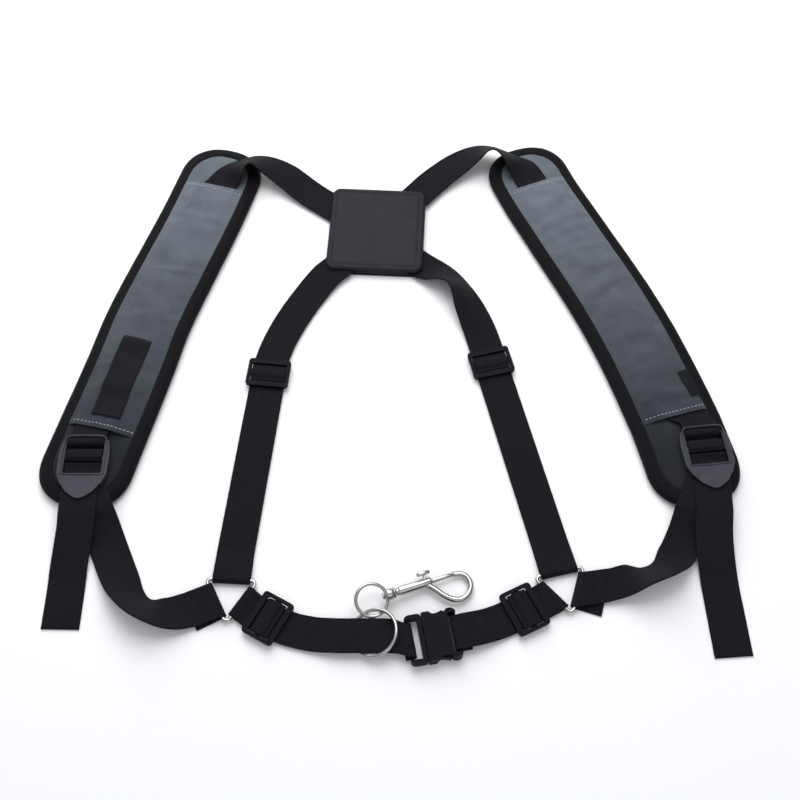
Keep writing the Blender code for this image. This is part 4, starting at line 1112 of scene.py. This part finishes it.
def make_hook():
    along, left = hook_frame()
    eye = tube("eye_wire", ring_points(EYE_CENTRE, EYE_NORMAL, 12.6, 80), 1.4, NICKEL, closed=True,
               sides=16)
    boss = lathe("eye_boss", hook_point(0, 0), along,
                 [(11.2, 2.0), (11.3, 4.0), (11.8, 4.6), (16.6, 4.6), (17.2, 4.3), (17.4, 3.6),
                  (17.4, 1.9), (11.2, 1.9)], NICKEL)
    dress(join([eye, boss], "swivel_eye"), "hook_eye", "nickel", "hook_eye")
    barrel = lathe("barrel", hook_point(0, 0), along,
                   [(8.8, 0.1), (8.9, 2.2), (9.3, 2.6), (10.3, 2.6), (10.5, 1.5), (17.7, 1.5),
                    (17.8, 3.9), (18.1, 4.3), (19.0, 4.3), (19.3, 3.4), (20.6, 3.0), (22.0, 3.1),
                    (22.6, 3.5), (24.0, 3.75), (48.6, 3.75), (49.6, 3.5), (50.0, 2.9),
                    (50.0, 2.1), (27.0, 2.1), (27.0, 0.1)], NICKEL, 36)
    bend = catmull_rom([(44, -1.2), (47, -3.4), (50, -7), (55, -14), (61, -19.5), (68, -21.4),
                        (74.5, -18.6), (78.6, -12.5), (78.4, -6), (74.5, -1.6), (69, -0.2)], 7)
    sizes = [2.5 - 0.25 * i / (len(bend) - 1) for i in range(len(bend))]
    claw = tube("claw", [hook_point(s, t) for s, t in bend], sizes, NICKEL, sides=18)
    nose = lathe("nose", hook_point(66.9, -0.2), along, [(0, 0.6), (0.3, 1.6), (1.1, 2.25), (2.3, 2.3)],
                 NICKEL, 18)
    body = join([barrel, claw, nose], "hook_barrel_and_claw")
    dress(body, "hook_body", "nickel", "hook_body")
    bolt = lathe("gate_bolt", hook_point(0, 0), along,
                 [(37, 0.2), (37, 1.8), (65.8, 1.8), (66.6, 1.5), (67.0, 0.8), (67.0, 0.1)], NICKEL, 24)
    dress(bolt, "hook_bolt", "nickel", "hook_bolt")
    knob = lathe("thumb_bar", hook_point(0, 8.3), along,
                 [(40.5, 0.1), (40.6, 1.0), (41.2, 1.6), (50.8, 1.6), (51.4, 1.0), (51.5, 0.1)],
                 NICKEL, 20)
    post = lathe("thumb_post", hook_point(46, 0), left, [(1.0, 1.1), (3.6, 1.1), (6.8, 1.2)], NICKEL, 16)
    dress(join([knob, post], "thumb_knob"), "hook_bolt", "nickel", "hook_thumb_knob")


def make_lock_rims():
    """The raised lip round each lock's windows; its top run crosses over the strap."""
    for side, (centre, heading) in (("left", LOCK_LEFT), ("right", LOCK_RIGHT)):
        plan = [(30, -17.2), (24, -17.6), (14, -18.2), (5, -17.9), (-1.5, -16.8), (-3.4, -15.6),
                (-4.3, -13.5), (-4.6, -8), (-4.7, 0), (-4.6, 8), (-4.3, 13.5), (-3.4, 15.6),
                (-1.5, 16.8), (5, 17.9), (14, 18.2), (24, 17.6), (30, 17.2), (30.6, 9),
                (30.8, 0), (30.6, -9)]
        points = []
        for x, y in catmull_rom(plan + plan[:1], 4)[:-1]:
            (px, py), = place([(x, y)], centre, heading)
            raised = min(1.0, max(0.0, (4.0 - x) / 7.0))
            z = LOCK_BAR_Z + 2.45 + 1.3 * raised * raised * (3 - 2 * raised)
            points.append((px, py, z))
        rim = tube(f"ladder_lock_{side}_lip", points, 0.8, BLUE_GREY, closed=True, sides=12)
        dress(rim, f"lock_{side}", "blue_grey_plastic")


def bevel(node, finish, width, segments=2):
    """A CAD piece kept as it is, with softened edges and a real finish."""
    obj = frame["nodes"][node]
    soft = obj.modifiers.new("soft_edges", "BEVEL")
    soft.width = width * MM
    soft.segments = segments
    soft.limit_method = "ANGLE"
    soft.angle_limit = math.radians(35)
    soft.use_clamp_overlap = True
    for i in range(len(obj.material_slots)):
        obj.material_slots[i].material = finish
    if not obj.material_slots:
        obj.data.materials.append(finish)


def dress_cad():
    for name in SLIDERS:
        bevel(name, BLACK, 0.45)
    for side in ("left", "right"):
        bevel(f"ladder_lock_{side}", BLUE_GREY, 0.6)
    for name in ("buckle_male", "buckle_female", "buckle_prong_upper", "buckle_prong_lower"):
        bevel(name, BLACK, 1.1, 3)
    bevel("back_plate_rear", LEATHER, 0.5)
    bevel("back_plate_board", LINING, 0.1, 1)
    bevel("hook_spring", STEEL, 0.01, 1)


# ---------------------------------------------------------------- stage, light and camera

FLOOR_HALF = 9000
FLOOR_Z = -0.05
CAMERA_TILT = 60.0             # degrees down from level
CAMERA_DISTANCE = 0.966        # metres from the point it looks at
PALE_SKY = (1.0, 1.02, 1.06)
DARK_BAND = (0.10, 0.11, 0.13)   # above the horizon, so that polished metal has something dark to mirror


def make_stage():
    floor_finish = Nodes("pale_table")
    floor_finish.set(Roughness=0.8, Specular_IOR_Level=0.2)
    cloudy = floor_finish.noise(3.0, 4.0)
    floor_finish.feed("Base Color", floor_finish.mix(cloudy, (0.93, 0.93, 0.935), (0.97, 0.97, 0.975)))
    half = FLOOR_HALF
    floor = grid_mesh("table_top", [[(-half, y, FLOOR_Z), (half, y, FLOOR_Z)] for y in (-half, half)],
                      floor_finish.mat)
    world = bpy.data.worlds.new("studio")
    world.use_nodes = True
    tree = world.node_tree
    height = tree.nodes.new("ShaderNodeSeparateXYZ")
    tree.links.new(tree.nodes.new("ShaderNodeTexCoord").outputs["Generated"], height.inputs[0])
    bands = tree.nodes.new("ShaderNodeValToRGB")
    bands.color_ramp.elements.remove(bands.color_ramp.elements[1])
    bands.color_ramp.elements[0].color = (*PALE_SKY, 1.0)
    for stop, shade in ((0.10, PALE_SKY), (0.18, DARK_BAND), (0.32, DARK_BAND), (0.62, PALE_SKY)):
        bands.color_ramp.elements.new(stop).color = (*shade, 1.0)
    tree.links.new(height.outputs["Z"], bands.inputs[0])
    tree.links.new(bands.outputs["Color"], tree.nodes["Background"].inputs["Color"])
    tree.nodes["Background"].inputs["Strength"].default_value = 0.58
    bpy.context.scene.world = world
    bpy.context.scene.view_settings.view_transform = "Standard"
    for name, place_at, size, power in (("overhead", (0.0, 0.5, 1.3), 1.2, 15.0),
                                        ("behind", (-0.5, 1.2, 0.8), 1.0, 9.0),
                                        ("front_fill", (0.5, -1.4, 1.2), 1.6, 3.0)):
        light = bpy.data.lights.new(name, "AREA")
        light.energy = power
        light.size = size
        lamp = bpy.data.objects.new(name, light)
        lamp.location = place_at
        aim = Vector((0.02, -0.15, 0)) - Vector(place_at)
        lamp.rotation_euler = aim.to_track_quat("-Z", "Y").to_euler()
        bpy.context.scene.collection.objects.link(lamp)


def make_camera():
    lens = bpy.data.cameras.new("camera")
    lens.lens = 50.0
    lens.sensor_width = 36.0
    camera = bpy.data.objects.new("camera", lens)
    tilt = math.radians(CAMERA_TILT)
    target = Vector((0.022, -0.182, 0.0))
    camera.location = target + Vector((0, -math.cos(tilt), math.sin(tilt))) * CAMERA_DISTANCE
    camera.rotation_euler = (math.pi / 2 - tilt, 0, 0)
    bpy.context.scene.collection.objects.link(camera)
    bpy.context.scene.camera = camera


make_camera()
make_stage()
shoulder_straps()
back_straps()
front_straps()
belt_straps()
slider_arches()
TOPS = make_pads()
make_labels(TOPS)
make_plate()
strap_seams()
make_rings()
make_lock_rims()
make_hook()
dress_cad()
